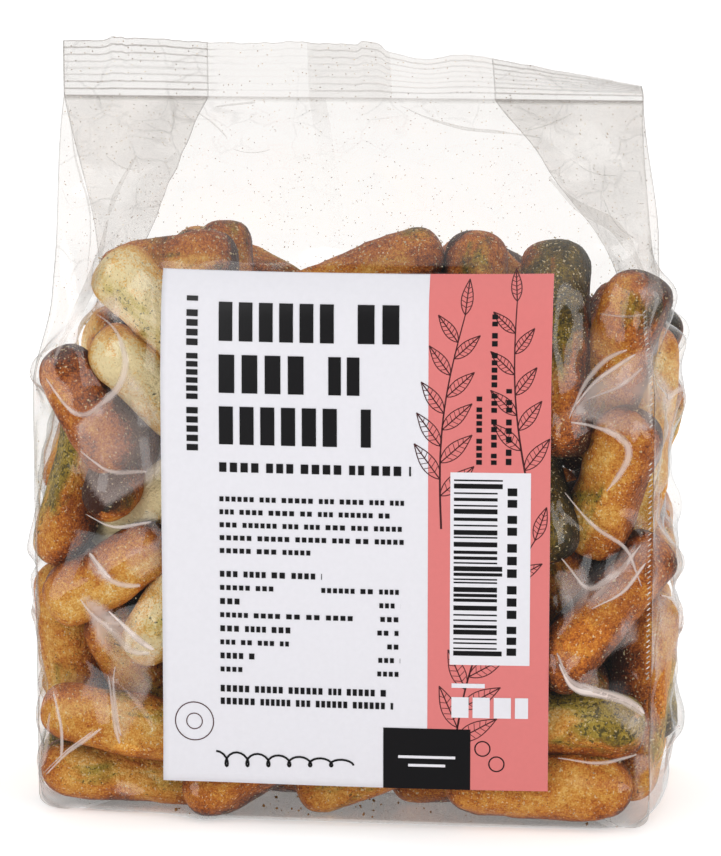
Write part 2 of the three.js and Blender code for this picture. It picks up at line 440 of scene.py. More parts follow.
FRONT_ROWS = [WallRow(*row) for row in (
    (-34.5, 98.5, -47, 41, 6.6, PLAIN, -0.14),
    (-36.5, 82, -52, 42, 6.3, PLAIN, -0.1, 0.6),
    (-50, 84, -69, 28, 6.0, TOMATO, 0.66, 1.6),
    (-38, 67, 33, 41, 6.6, PLAIN, -0.2, 0.2),
    (-46.5, 49, 24, 30, 6.0, TOMATO, 0.34, 2.6),
    (-35, 49.5, 47, 42, 6.6, PLAIN, -0.14, 0.2),
    (-42, 26, -78, 34, 6.4, TOMATO, 0.40, 1.4),
    (-40, 14, -26, 40, 6.2, TOMATO, 0.36, 0.8),
    (-41, 6.4, 2, 36, 6.2, TOMATO, 0.42, 3.6),
    (43.5, 94, -87, 44, 6.9, BASIL, 0.62),
    (53.6, 91.5, -101, 40, 6.6, PLAIN, 0.46, 0.3),
    (51.5, 70, -89, 33, 6.6, PLAIN, 0.40, 0.4),
    (46, 48, -67, 33, 6.0, TOMATO, 0.62, 3.0),
    (49, 43.5, 58, 38, 6.3, TOMATO, 0.66, 0.8),
    (41.5, 21.8, 0, 38, 6.4, BASIL, 0.16, 0.8),
    (39.5, 8.6, 1, 38, 6.9, PLAIN, 0.36, 0.8),
    (40, 70, -80, 34, 6.2, BASIL, 0.55, 2.2),
    (40, 33, -20, 32, 6.0, TOMATO, 0.60, 5.0),
    (-38, 109, 8, 30, 6.0, TOMATO, 0.44, 9.0),
    (-28, 104, -86, 34, 6.2, TOMATO, 0.58, 15.0),
    (-1, 109, 20, 44, 6.2, TOMATO, 0.52, 10.0),
    (24, 105, -90, 38, 6.8, TOMATO, 0.50, 11.0),
    (34, 103, -38, 34, 6.0, TOMATO, 0.58, 17.0),
    (-18, 7.4, 2, 42, 6.2, TOMATO, 0.52, 0.6),
    (3, 7.6, -3, 32, 6.2, BASIL, 0.45, 10.6),
    (-16, 6.4, -2, 38, 6.2, TOMATO, 0.58, 13.4),
    (26, 6.4, 3, 38, 6.2, TOMATO, 0.54, 13.0),
)]
RIGHT_ROWS = [WallRow(*row) for row in (
    (-10, 76, -89, 48, 6.3, TOMATO, 0.30, -0.2),
    (7, 92, 22, 34, 6.0, PLAIN, 0.28, 2.0),
    (10, 74, -38, 36, 6.2, BASIL, 0.40, 0.4),
    (-10, 25, -92, 44, 6.5, TOMATO, 0.34, -0.2),
    (11, 54, 28, 34, 6.2, TOMATO, 0.44, 0.4),
    (10, 37, -18, 34, 6.0, PLAIN, 0.30, 0.8),
    (9, 22, 24, 34, 6.2, BASIL, 0.42, 0.4),
    (10, 8, -4, 36, 6.0, TOMATO, 0.48, 0.8),
)]
LEFT_ROWS = [WallRow(*row) for row in (
    (-15, 69, 89, 44, 6.3, BASIL, 0.36, -0.2),
    (-15, 31, 91, 38, 6.3, TOMATO, 0.34, -0.2),
    (7, 90, -20, 36, 6.0, PLAIN, 0.26, 2.0),
    (7, 72, 36, 38, 6.2, TOMATO, 0.42, 0.4),
    (8, 54, -24, 36, 6.2, BASIL, 0.34, 0.4),
    (7, 37, 26, 38, 6.2, PLAIN, 0.30, 0.4),
    (8, 21, -12, 36, 6.0, TOMATO, 0.48, 0.8),
    (5, 7.4, 3, 40, 6.2, BASIL, 0.42, 0.6),
)]
BACK_ROWS = [WallRow(*row) for row in (
    (-44, 94, 62, 42, 5.9, TOMATO, 0.40),
    (-24, 100, -20, 42, 6.0, BASIL, 0.30),
    (8, 98, 34, 44, 6.0, PLAIN, 0.20),
    (36, 100, -28, 42, 6.0, TOMATO, 0.55),
    (52, 84, 80, 40, 5.8, BASIL, 0.40, 1.0),
    (-50, 62, -74, 42, 6.0, PLAIN, 0.30),
    (-28, 76, 12, 42, 6.0, TOMATO, 0.50),
    (2, 74, -42, 44, 6.0, BASIL, 0.15),
    (30, 76, 24, 42, 6.0, PLAIN, 0.10),
    (-30, 54, 48, 42, 6.0, BASIL, 0.35),
    (-4, 50, -8, 42, 6.0, TOMATO, 0.45),
    (26, 52, -56, 42, 6.0, TOMATO, 0.60),
    (50, 46, 84, 42, 6.0, PLAIN, 0.25),
    (-46, 26, 26, 40, 6.0, TOMATO, 0.55),
    (-18, 30, -64, 40, 6.0, PLAIN, 0.20),
    (10, 28, 18, 42, 6.0, BASIL, 0.30),
    (38, 24, -30, 42, 6.0, BASIL, 0.50),
    (-34, 10, -4, 42, 6.0, BASIL, 0.40),
    (6, 11, 8, 42, 6.0, TOMATO, 0.45),
    (44, 9.5, -6, 36, 6.0, PLAIN, 0.30),
)]
LABEL_ROWS = [WallRow(*row) for row in (
    (-14, 92, 12, 42, 6.0, TOMATO, 0.5),
    (22, 86, -38, 42, 6.0, BASIL, 0.4),
    (-8, 70, -30, 42, 6.0, PLAIN, 0.4),
    (26, 66, 70, 42, 6.0, TOMATO, 0.5),
    (4, 50, 16, 42, 6.0, BASIL, 0.4),
    (-14, 34, -44, 42, 6.0, TOMATO, 0.5),
    (22, 34, 24, 42, 6.0, PLAIN, 0.4),
    (-8, 14, 6, 42, 6.0, TOMATO, 0.55),
    (16, 9, -8, 40, 6.0, TOMATO, 0.6),
)]


def segment_gaps(centre: Array, reach: Array) -> tuple[Array, Array, Array]:
    """Closest points between the cores of every pair of sticks.

    Args:
        centre: Centre of each core.
        reach: Vector from the centre to an end of each core.

    Returns:
        The vector from the second core's closest point to the first's for each pair, and the
        places of these points along the first and second core, from -1 to 1.
    """
    r = centre[:, None] - centre[None, :]
    a = np.maximum((reach * reach).sum(-1), 1e-6)
    b = reach @ reach.T
    c = (r * reach[:, None]).sum(-1)
    f = (r * reach[None, :]).sum(-1)
    denominator = np.maximum(a[:, None] * a[None, :] - b * b, 1e-6)
    s = np.clip((b * f - c * a[None, :]) / denominator, -1, 1)
    t = np.clip((b * s + f) / a[None, :], -1, 1)
    s = np.clip((b * t - c) / a[:, None], -1, 1)
    gap = r + s[..., None] * reach[:, None] - t[..., None] * reach[None, :]
    return gap, s, t


@dataclass
class Contents:
    """The sticks in the bag: those listed against the walls, and loose ones between them."""

    loose_count: int = 34
    fill_level: float = 119.0
    settle_rounds: int = 150
    rings: int = 40
    sides: int = 34
    wall_clearance: float = 0.5
    loose_radius: float = 5.9
    lumps: tuple[tuple[float, float], ...] = ((0.085, 9), (0.045, 4.0), (0.016, 1.6))
    squareness: float = 2.7
    blunt_power: float = 0.44
    seam_groove: float = 0.09
    wrap_start: float = 5.6
    floor_gap: float = 0.45
    dough_shift: float = 61.0
    sticks: list[Stick] = field(default_factory=list)

    def place(self) -> None:
        """Lay the wall sticks, drop the loose ones between them and let all of them settle."""
        self._lay(FRONT, FRONT_ROWS, 0.01)
        self._lay(FRONT, LABEL_ROWS, 0.4)
        self._lay(RIGHT, RIGHT_ROWS, 0.03)
        self._lay(LEFT, LEFT_ROWS, 0.03)
        self._lay(BACK, BACK_ROWS, 0.12)
        random = np.random.default_rng(11)
        doughs = list(Dough)
        for i in range(self.loose_count):
            level = 9 + 84 * (i + 0.5) / self.loose_count
            centre = np.array([random.uniform(-46, 46), random.uniform(-13, 13), level])
            axis = random.normal(size=3) * (1, 0.5, 0.45)
            self.sticks.append(Stick(
                centre, axis / np.linalg.norm(axis), random.uniform(38, 43), self.loose_radius,
                doughs[i % 3], random.uniform(0.3, 0.65), random.normal(size=3), 1.0, 200 + i))
        self._settle()

    def _lay(self, panel: Panel, rows: list[WallRow], hold: float) -> None:
        """Lay sticks against one wall.

        Args:
            panel: The wall.
            rows: The sticks on it.
            hold: How easily they are pushed aside, nought for never.
        """
        way = 1.0 if panel < 2 else -1.0
        for i, row in enumerate(rows):
            angle = math.radians(row.tilt)
            core = row.length / 2 - row.radius
            ends = []
            for sign in (-1, 1):
                across = row.across + sign * core * math.cos(angle)
                z = row.height + sign * core * math.sin(angle)
                inset = row.radius + self.wall_clearance + row.sink
                if panel in (FRONT, BACK):
                    bulge = FORM.front_bulge if panel is FRONT else FORM.back_bulge
                    depth = float(FORM.panel_depth(bulge, across, z))
                    ends.append(np.array([across, -way * (depth - inset), z]))
                else:
                    share = min(1.0, abs(across) / FORM.half_depth)
                    reach = float(FORM.half_width_at(way, z) + FORM.side_offset(way, share, z))
                    ends.append(np.array([way * (reach - inset), across, z]))
            core_vector = ends[1] - ends[0]
            # The side painted pale as if lit faces out of its wall and a little up.
            face = np.array([0, -way, 0.25]) if panel % 2 == 0 else np.array([way, -0.9, 0.25])
            self.sticks.append(Stick(
                (ends[0] + ends[1]) / 2, core_vector / np.linalg.norm(core_vector), row.length,
                row.radius, row.dough, row.bake, face, hold, 10 * panel + 37 * i + 5))

    def _settle(self) -> None:
        """Push overlapping sticks apart; those laid one by one hardly move, so a few stay pressed together.
        """
        centre = np.array([s.centre for s in self.sticks])
        home = centre.copy()
        half = np.array([s.half for s in self.sticks])
        reach = np.array([s.axis for s in self.sticks]) * half[:, None]
        radius = np.array([s.radius for s in self.sticks])
        hold = np.array([s.hold for s in self.sticks])
        share = hold[:, None] / (hold[:, None] + hold[None, :])
        touch = radius[:, None] + radius[None, :]
        home_reach = reach.copy()
        pull = (0.10 * (1 - hold) * (hold < 0.9))[:, None]
        for _ in range(self.settle_rounds):
            gap, s, _ = segment_gaps(centre, reach)
            distance = np.maximum(np.linalg.norm(gap, axis=-1), 1e-3)
            overlap = np.maximum(0, touch - distance)
            np.fill_diagonal(overlap, 0)
            push = gap / distance[..., None] * (overlap * share * 0.45)[..., None]
            centre += push.sum(axis=1)
            reach += (push * s[..., None]).sum(axis=1) * 0.9
            reach += (home_reach - reach) * pull
            reach *= (half / np.linalg.norm(reach, axis=1))[:, None]
            centre += (home - centre) * pull
            self._keep_inside(centre, reach, radius)
        for stick, where, core in zip(self.sticks, centre, reach):
            stick.centre = where
            stick.axis = core / np.linalg.norm(core)

    def _keep_inside(self, centre: Array, reach: Array, radius: Array) -> None:
        """Move sticks whose ends stand out of the bag back inside it, in place."""
        for sign in (-1, 1):
            end = centre + sign * reach
            inset = radius + self.wall_clearance
            depth = FORM.panel_depth(FORM.front_bulge, end[:, 0], end[:, 2]) - inset
            beside = np.clip(np.abs(end[:, 1]) / FORM.crease_depth(end[:, 2]), 0, 1)
            side = np.sign(end[:, 0])
            width = FORM.half_width_at(side, end[:, 2]) + FORM.side_offset(side, beside, end[:, 2])
            width = width - inset
            width += 5 * smoothstep(end[:, 2], 84, 98)
            centre[:, 1] += np.clip(end[:, 1], -depth, depth) - end[:, 1]
            centre[:, 0] += np.clip(end[:, 0], -width, width) - end[:, 0]
            centre[:, 2] += np.maximum(0, radius - 0.2 - end[:, 2])
            centre[:, 2] -= np.maximum(0, end[:, 2] + radius - self.fill_level)

    def mesh(self, stick: Stick) -> tuple[Array, dict[str, Array]]:
        """Shape one stick: a stubby rolled piece with blunt, slightly torn ends.

        Args:
            stick: The stick.

        Returns:
            Its points in mm, and by name its own coordinates, its baking with painted shade round it and
            its herb share.
        """
        random = np.random.default_rng(stick.seed)
        axis = stick.axis
        # pale points to the side that is painted pale, as if lit, from stick.face.
        pale = stick.face - axis * (stick.face @ axis)
        pale /= np.linalg.norm(pale)
        side = np.cross(axis, pale)
        roll = random.uniform(-0.5, 0.5)
        c, d = math.cos(roll), math.sin(roll)
        pale, side = pale * c + side * d, side * c - pale * d
        turn = np.linspace(0, 2 * np.pi, self.sides, endpoint=False)[None, :]
        t = np.linspace(0, np.pi, self.rings)[:, None]
        along = -np.cos(t)
        blunt = np.maximum(0, 1 - np.abs(along) ** random.uniform(5.5, 9.0)) ** self.blunt_power
        taper = 1 + random.uniform(-0.06, 0.06) * along
        place = along * stick.length / 2
        ring = turn * stick.radius
        seed = stick.seed * 7
        round_it = ring + 0 * place
        (coarse, coarse_mm), (middling, middling_mm), (fine, fine_mm) = self.lumps
        lump = 1 + coarse * lattice_noise(place + 90, ring * 0.8 + 0 * place + 40, coarse_mm, seed)
        lump = lump + middling * lattice_noise(place, round_it, middling_mm, seed + 1)
        lump = lump + fine * lattice_noise(place, round_it, fine_mm, seed + 4)
        pressed = np.abs(np.cos(turn)) ** self.squareness + np.abs(np.sin(turn)) ** self.squareness
        lump = lump * pressed ** (-1 / self.squareness)
        seam = random.uniform(0, 2 * np.pi) + place * random.uniform(-0.05, 0.05)
        groove = self.seam_groove * np.exp(-((np.cos(turn - seam) - 1) * 9) ** 2)
        # Painted shade round the stick: nought on the pale side, one on the far side.
        painted_shade_round = 0.5 - 0.5 * np.cos(turn)
        closing = smoothstep(turn, self.wrap_start, 2 * np.pi)
        lump = mix(lump, np.broadcast_to(lump[:, :1], lump.shape), closing)
        profile = stick.radius * blunt * taper * (lump - groove)
        oval = random.uniform(0.92, 1.0)
        bow = random.uniform(-1.0, 1.0) * (1 - along ** 2)
        local = np.stack([place + 0 * turn, profile * np.cos(turn) * oval + bow, profile * np.sin(turn)],
                         axis=-1).reshape(-1, 3)
        points = stick.centre + local @ np.stack([axis, pale, side])
        points[:, 2] = np.maximum(points[:, 2], self.floor_gap)
        # The bake mark adds painted shade, darker towards the far side, to the real baking, the darker ends
        # and the blotches.
        bake = stick.bake * 0.85 + 0.86 * (painted_shade_round + 0 * place) ** 1.05
        bake = bake + 0.22 * np.abs(along) ** 5 + 0.14 * lattice_noise(place + 9, round_it, 7, seed + 2)
        swirl = np.cos(turn - random.uniform(0, 6.28) - place * random.uniform(0.03, 0.09))
        herb = HERBS[stick.dough] + 0.45 * swirl + 0.35 * lattice_noise(place + 30, round_it, 8, seed + 3)
        own = local + np.array([stick.seed * self.dough_shift, 0, 0])
        return points.reshape(*lump.shape, 3), {"stick_mm": own, "bake": bake, "herb": herb}

    def build(self, finish: bpy.types.Material) -> list[bpy.types.Object]:
        """Make one piece for each dough.

        Args:
            finish: The baked crust.

        Returns:
            The pieces.
        """
        pieces = []
        for dough in Dough:
            sheets = Sheets()
            for stick in self.sticks:
                if stick.dough is dough:
                    grid, marks = self.mesh(stick)
                    sheets.add(grid, closed=True, **marks)
            pieces.append(sheets.piece(f"grissini_{dough.value}", finish))
        return pieces


@dataclass(frozen=True)
class FilmFold:
    """One crisp fold of the film: its run over a panel and how far it stands up, in mm."""

    panel: Panel
    run: tuple[tuple[float, float], ...]
    height: float
    spread: float


FOLDS = [FilmFold(*row) for row in (
    (FRONT, ((-50, 103), (-45.6, 101), (-43, 97), (-42.4, 92.7), (-44.9, 87.8), (-51.5, 82.5),
     (-56, 85.6), (-60, 91)), 1.2, 2.6),
    (FRONT, ((-53, 76), (-46, 71.5), (-38, 72)), 0.9, 3.4),
    (FRONT, ((-52, 63), (-46, 60), (-37, 62)), 0.7, 3.0),
    (FRONT, ((-51.5, 55), (-48.6, 51.6), (-44, 48.6), (-39, 49)), 1.1, 2.4),
    (FRONT, ((-53, 46), (-50.4, 41.7), (-46.3, 39.3), (-42, 35.6), (-37.2, 35.1)), 1.3, 2.8),
    (FRONT, ((-47.8, 30), (-46.1, 21.8), (-44.7, 15)), 0.9, 3.0),
    (FRONT, ((-59, 26), (-56.4, 19), (-57.5, 11)), 0.7, 2.0),
    (FRONT, ((-61, 8), (-56, 13.5), (-48, 19.5)), 0.8, 2.2),
    (FRONT, ((45, 84), (50, 83), (56, 81), (57.6, 78), (55, 73), (52, 69)), 1.2, 2.8),
    (FRONT, ((45, 84), (47.8, 91), (52, 96), (57, 98)), 0.9, 3.0),
    (FRONT, ((48, 88), (55, 90.5), (60, 95)), 0.8, 2.2),
    (FRONT, ((50, 104.5), (55, 104), (60.5, 104.5)), 0.6, 2.4),
    (FRONT, ((43, 38), (46, 31.5), (52, 29), (57.6, 27), (61, 24)), 1.2, 2.6),
    (FRONT, ((43.6, 57), (49, 49), (55, 53), (60, 60)), 1.0, 3.2),
    (FRONT, ((44, 70), (50, 62), (57, 58), (60, 50)), 0.7, 3.4),
    (FRONT, ((43, 16), (52, 14.5), (60, 17)), 0.7, 2.4),
    (FRONT, ((-30, 121), (-10, 117), (12, 119), (30, 114)), 0.8, 5.0),
    (FRONT, ((-52, 128), (-45, 116), (-40, 112)), 0.7, 4.0),
    (FRONT, ((48, 134), (46, 122), (50, 112)), 0.7, 4.0),
    (RIGHT, ((-27, 94), (-16, 86), (-9, 88), (-4, 80)), 1.0, 3.0),
    (RIGHT, ((-24, 48), (-15, 45), (-12, 38), (-4, 36)), 1.0, 3.0),
    (RIGHT, ((-20, 12), (-12, 17), (-3, 16)), 0.8, 3.0),
    (RIGHT, ((4, 76), (10, 65), (6, 56), (15, 47)), 0.9, 3.0),
    (RIGHT, ((6, 30), (12, 34), (21, 30)), 0.8, 2.6),
    (LEFT, ((-26, 92), (-18, 84), (-8, 86)), 1.0, 3.0),
    (LEFT, ((2, 88), (9, 80), (19, 82), (25, 74)), 0.8, 3.0),
    (LEFT, ((-20, 66), (-12, 58), (-2, 58), (3, 50)), 0.9, 3.0),
    (LEFT, ((-22, 34), (-13, 40), (-6, 32)), 0.9, 2.8),
    (LEFT, ((4, 22), (12, 26), (16, 37)), 0.8, 2.8),
    (BACK, ((-56, 88), (-47, 86), (-40, 77), (-43, 70)), 1.0, 3.2),
    (BACK, ((-34, 96), (-24, 88), (-14, 89)), 0.7, 3.2),
    (BACK, ((14, 92), (21, 81), (34, 78)), 1.0, 3.2),
    (BACK, ((38, 96), (47, 91), (52, 80), (58, 78)), 0.9, 3.0),
    (BACK, ((-30, 67), (-21, 60), (-22, 50)), 0.9, 3.0),
    (BACK, ((-54, 50), (-46, 52), (-38, 45)), 0.8, 3.0),
    (BACK, ((18, 60), (28, 64), (36, 57), (38, 48)), 0.9, 3.0),
    (BACK, ((46, 58), (51, 47), (59, 44)), 0.8, 2.8),
    (BACK, ((-50, 24), (-40, 31), (-28, 27)), 0.9, 3.0),
    (BACK, ((16, 40), (19, 31), (30, 27)), 0.9, 3.0),
    (BACK, ((-24, 12), (-18, 19), (-14, 30)), 0.7, 2.6),
    (BACK, ((36, 12), (45, 18), (54, 16)), 0.7, 2.6),
    (BACK, ((-40, 122), (-26, 114), (-16, 120)), 0.7, 5.0),
)]


@dataclass(frozen=True)
class PaintedFilmReflection:
    """A facet of the film that stands off the sticks, with a painted reflection of a softbox on it: its
    strength and its outline.
    """

    panel: Panel
    strength: float
    outline: tuple[tuple[float, float], ...]


# Outlines of painted softbox reflections on the film.
PAINTED_REFLECTIONS = [PaintedFilmReflection(*row) for row in (
    (FRONT, 0.5, ((-49.7, 103.8), (-45.5, 107.6), (-44.5, 104), (-44.2, 102.2))),
    (FRONT, 0.62, ((-50.7, 83), (-42.5, 92.1), (-35.6, 82.3), (-35.7, 72), (-47, 64.9), (-53.1, 72.4),
     (-52.9, 80.9))),
    (FRONT, 0.8, ((-51.4, 55.2), (-45.4, 49.7), (-46.6, 49.2), (-50.7, 51.9))),
    (FRONT, 0.45, ((-43.2, 55.5), (-36.1, 58.4), (-36.1, 53.3), (-40, 50.3), (-42.5, 52.3))),
    (FRONT, 0.7, ((-52.6, 46.5), (-47.5, 43.5), (-45.9, 41.9), (-36.7, 35.4), (-38.6, 32.1),
     (-45.6, 32.2), (-49.6, 36.2))),
    (FRONT, 0.45, ((-46.8, 32.2), (-39.4, 32), (-38.6, 28), (-41.1, 22.5), (-44.3, 16.9), (-45.7, 21.6),
     (-47.3, 27.6))),
    (FRONT, 0.7, ((45.4, 85.9), (48.1, 89.3), (49.8, 91.5), (54.2, 94.4), (58.6, 97.4), (61.5, 97.4),
     (61.3, 82.5), (56.9, 81.9), (50.7, 83.6))),
    (FRONT, 0.5, ((59, 109.8), (61.1, 110.5), (60.9, 103.8), (58.7, 108.1))),
    (FRONT, 0.6, ((55.7, 57.1), (61.1, 60.4), (61, 56.4), (55.8, 48.8), (49.3, 45.5), (48.9, 47.1),
     (52, 51.2))),
    (FRONT, 0.45, ((43, 53.7), (48.1, 53.4), (49.7, 50.4), (48.9, 47.1), (47, 44.3), (44.2, 48.7))),
    (FRONT, 0.45, ((58.2, 46.5), (58.6, 39.8), (52.2, 36), (53.9, 39.7), (56.2, 43.2))),
    (FRONT, 0.45, ((51.9, 28.1), (58.4, 27.4), (61.6, 23.8), (61.6, 17), (58.5, 21.1))),
    (FRONT, 0.5, ((58.7, 16.6), (61.9, 16.6), (61.8, 14.2), (59.2, 11.9), (61, 7.4), (59.6, 7.4))),
    (RIGHT, 0.5, ((-26, 97), (-14, 88), (-8, 76), (-20, 80))),
    (RIGHT, 0.5, ((-24, 47), (-12, 40), (-4, 30), (-16, 33))),
    (RIGHT, 0.45, ((5, 72), (14, 66), (16, 48), (7, 56))),
    (LEFT, 0.5, ((-24, 90), (-12, 85), (-6, 74), (-18, 78))),
    (LEFT, 0.5, ((-18, 64), (-8, 58), (4, 60), (0, 48))),
    (LEFT, 0.45, ((-10, 42), (2, 36), (16, 38), (8, 26))),
    (BACK, 0.5, ((-54, 86), (-38, 84), (-30, 74), (-46, 76))),
    (BACK, 0.5, ((16, 87), (28, 91), (38, 84), (26, 76))),
    (BACK, 0.5, ((-52, 58), (-40, 63), (-28, 58), (-38, 50))),
    (BACK, 0.45, ((18, 61), (26, 56), (38, 61), (30, 48))),
    (BACK, 0.5, ((-50, 32), (-38, 37), (-28, 32), (-40, 22))),
    (BACK, 0.5, ((18, 36), (30, 41), (40, 34), (28, 26))),
)]


@dataclass(frozen=True)
class FilmStrip:
    """A narrow strip of the film folded on itself: its run, its width in mm and the strength of its painted
    light, a reflection line over the sticks and a grey shade line above them.
    """

    panel: Panel
    run: tuple[tuple[float, float], ...]
    width: float
    painted_light_share: float


# Strips over the sticks carry painted reflection lines; those above them, some just under the seal, carry
# grey painted shade lines.
STRIPS = [FilmStrip(FRONT, *row) for row in (
    (((-60.2, 143), (-57, 132.4), (-52.5, 123.5), (-51.6, 118), (-51.8, 107.7)), 0.35, 0.6),
    (((-48.2, 121.5), (-49.1, 114.6), (-50.6, 109.1), (-55.6, 99.1), (-58, 93.4)), 2.0, 0.5),
    (((-44.2, 133), (-47.5, 126), (-48.4, 121)), 1.2, 0.35),
    (((39, 130.3), (45, 124.9), (53, 121.2), (57.2, 115.6), (59.4, 110.5)), 1.8, 0.5),
    (((-34, 141.6), (-31, 140), (-28.5, 138.6), (-25.5, 136)), 0.35, 0.5),
    (((-30, 142), (-26, 142.6), (-20, 143.2)), 0.6, 0.5),
    (((8, 142.9), (14, 140.4), (22, 138.4), (30, 137.9), (38, 137)), 0.5, 0.6),
    (((-25, 134.4), (-20.5, 133.4), (-16, 134.6)), 0.25, 0.5),
    (((33, 138), (39, 139.4), (44, 141.8)), 0.35, 0.4),
    (((-51, 133), (-46, 129.8), (-43, 130.6)), 0.3, 0.4),
    (((43, 133.6), (48, 130.4), (54, 130)), 0.3, 0.4),
    (((50, 127), (53, 121), (58, 118)), 0.3, 0.5),
    (((-59.1, 26.6), (-56.3, 19.5), (-57, 12.6)), 0.5, 0.7),
    (((-61.4, 8.4), (-56.2, 13.9), (-49.7, 19)), 0.4, 0.8),
    (((-59.2, 22.5), (-60.2, 15.1), (-61.6, 9.4)), 1.3, 0.5),
    (((45.4, 85.9), (48.1, 89.3), (49.8, 91.5), (54.2, 94.4), (58.6, 97.4)), 0.9, 0.9),
    (((-45.6, 32.2), (-46.8, 29.3), (-45.7, 21.6), (-44.3, 16.9)), 0.8, 0.8),
    (((-47.5, 43.5), (-45.9, 41.9), (-41.4, 38.6), (-36.9, 35.4)), 1.3, 1.3),
    (((43.5, 35.9), (46.7, 29.7), (52.3, 28.9), (58.4, 27.4), (61.4, 24.2)), 1.6, 1.3),
    (((49.3, 45.5), (55.8, 48.8), (61, 56.4)), 0.8, 0.9),
    (((-51.4, 55.2), (-48.4, 52.2), (-45.4, 49.7)), 1.3, 1.3),
)]


@dataclass
class FilmBag:
    """The clear film: one sheet round the bag from its folded bottom to its cut top edge."""

    long_columns: int = 140
    side_columns: int = 60
    row_pitch: float = 0.95
    floor_rows: int = 20
    seal_rows: int = 48
    rib_count: int = 8
    rib_depth: float = 0.11
    rib_gap_left: tuple[float, float] = (-31, -28)
    rib_gap_right: tuple[float, float] = (-11, -8)
    lean_degrees: float = 76.0
    sag_force: float = 0.024
    max_sag: float = 7.5
    stretch_rounds: int = 260
    flat_sag: float = 0.25
    free_band: tuple[float, float] = (98, 116)
    stick_edge: float = 0.6
    sinking_steps: int = 12
    sinking_start: float = -2.0
    sticks_within: float = 34.0
    fold_gain: float = 1.25
    strip_lift: float = 0.12
    strip_pitch: float = 0.6
    mark_pitch: float = 1.08
    mark_length: float = 0.55
    floor_height: float = 0.05
    crease_mm: float = 0.16
    label_centre: float = 3.0
    label_half: float = 38.7
    label_low: float = 9.2
    label_high: float = 112.2
    fin_left: float = -11.2
    fin_right: float = 7.3
    fin_narrow: float = -6.6
    rows: Array | None = None
    panel: Array | None = None
    places: Array | None = None

    def columns(self) -> tuple[Array, Array]:
        """Place the columns, closer together at the creases and at the side folds.

        Returns:
            The panel number and the place across it of each column.
        """
        panels, places = [], []
        for panel in Panel:
            is_long = panel % 2 == 0
            count = self.long_columns if is_long else self.side_columns
            half = FORM.half_width if is_long else FORM.half_depth
            near = np.array([0.15, 0.4, 0.8]) / half
            s = np.linspace(-1, 1, count + 1)[:-1]
            extra = [-1 + near, 1 - near]
            if not is_long:
                extra += [near, -near]
            s = np.unique(np.round(np.concatenate([s, *extra]), 5))
            panels.append(np.full(len(s), panel))
            places.append(s)
        return np.concatenate(panels), np.concatenate(places)

    def crumple(self, a: Array, b: Array) -> Array:
        """Sharp-ridged folds of film that has been squeezed and let go.

        Args:
            a: Place across the panel in mm, with each panel apart from the next.
            b: Height in mm.

        Returns:
            The height of the folds, from about minus one to one, in mm.
        """
        random = np.random.default_rng(3)
        warp_a = a + 3.5 * lattice_noise(a, b, 26, 5)
        warp_b = b + 3.5 * lattice_noise(a, b, 24, 6)
        total = np.zeros_like(a)
        for k, length in enumerate([46, 38, 31, 25, 20, 16, 13, 10, 8, 6]):
            angle = random.uniform(0, np.pi)
            phase = (warp_a * math.cos(angle) + warp_b * math.sin(angle)) / length + random.uniform(0, 1)
            wave = 1 - 2 * np.abs(2 * (phase - np.floor(phase)) - 1)
            patch = smoothstep(lattice_noise(a + 50, b, 21, 20 + k), -0.25, 0.6)
            total += wave * patch * length * 0.019
        return total

    def folds(self, panel: Array, across: Array, z: Array) -> Array:
        """Height of the crisp folds.

        Args:
            panel: Panel number of each column.
            across: Place across its panel of each point, in mm.
            z: Height of each point.

        Returns:
            How far each point stands out of the smooth wall, in mm.
        """
        total = np.zeros_like(z)
        for fold in FOLDS:
            mine = panel == fold.panel
            here = np.stack([across[:, mine], z[:, mine]], axis=-1)
            here = here + 0.5 * lattice_noise(here[..., 0], here[..., 1], 5, 71)[..., None]
            run = np.array(fold.run)
            nearest = np.full(here.shape[:2], 99.0)
            reach = np.zeros(here.shape[:2])
            for i, (start, end) in enumerate(zip(run[:-1], run[1:])):
                way = end - start
                share = np.clip(((here - start) @ way) / (way @ way), 0, 1)
                away = np.linalg.norm(here - start - share[..., None] * way, axis=-1)
                place = (i + share) / (len(run) - 1)
                reach = np.where(away < nearest, np.sin(np.pi * np.clip(place, 0.04, 0.96)) ** 0.5, reach)
                nearest = np.minimum(nearest, away)
            crest = 0.55 * np.exp(-nearest / fold.spread) + 0.45 * np.exp(-nearest / (2.6 * fold.spread))
            total[:, mine] += self.fold_gain * fold.height * reach * crest
        return total

    def obstacle(self, points: Array, inward: Array, sticks: list[Stick]) -> Array:
        """How far inwards each wall point may move before it meets a stick.

        Args:
            points: Wall points in mm.
            inward: The direction of sinking.
            sticks: All sticks.

        Returns:
            The free way for each point, at most the largest sag.
        """
        centre = np.array([s.centre for s in sticks])
        near = np.abs((centre - points.mean(axis=0)) @ inward) < self.sticks_within
        chosen = [s for s, keep in zip(sticks, near) if keep]
        depth = np.full(len(points), self.sinking_start)
        for _ in range(self.sinking_steps):
            here = points + depth[:, None] * inward
            gap = np.full(len(points), self.max_sag)
            for stick in chosen:
                offset = here - stick.centre
                along = offset @ stick.axis
                across = np.linalg.norm(offset - along[:, None] * stick.axis, axis=1)
                corner = self.stick_edge * stick.radius
                past_side = across - (1.05 * stick.radius - corner)
                past_end = np.abs(along) - (stick.length / 2 - corner)
                outside = np.hypot(np.maximum(past_side, 0), np.maximum(past_end, 0))
                distance = outside + np.minimum(np.maximum(past_side, past_end), 0) - corner
                gap = np.minimum(gap, distance)
            depth = np.minimum(depth + np.clip(gap - 0.05, -1, 4), self.max_sag)
        return depth

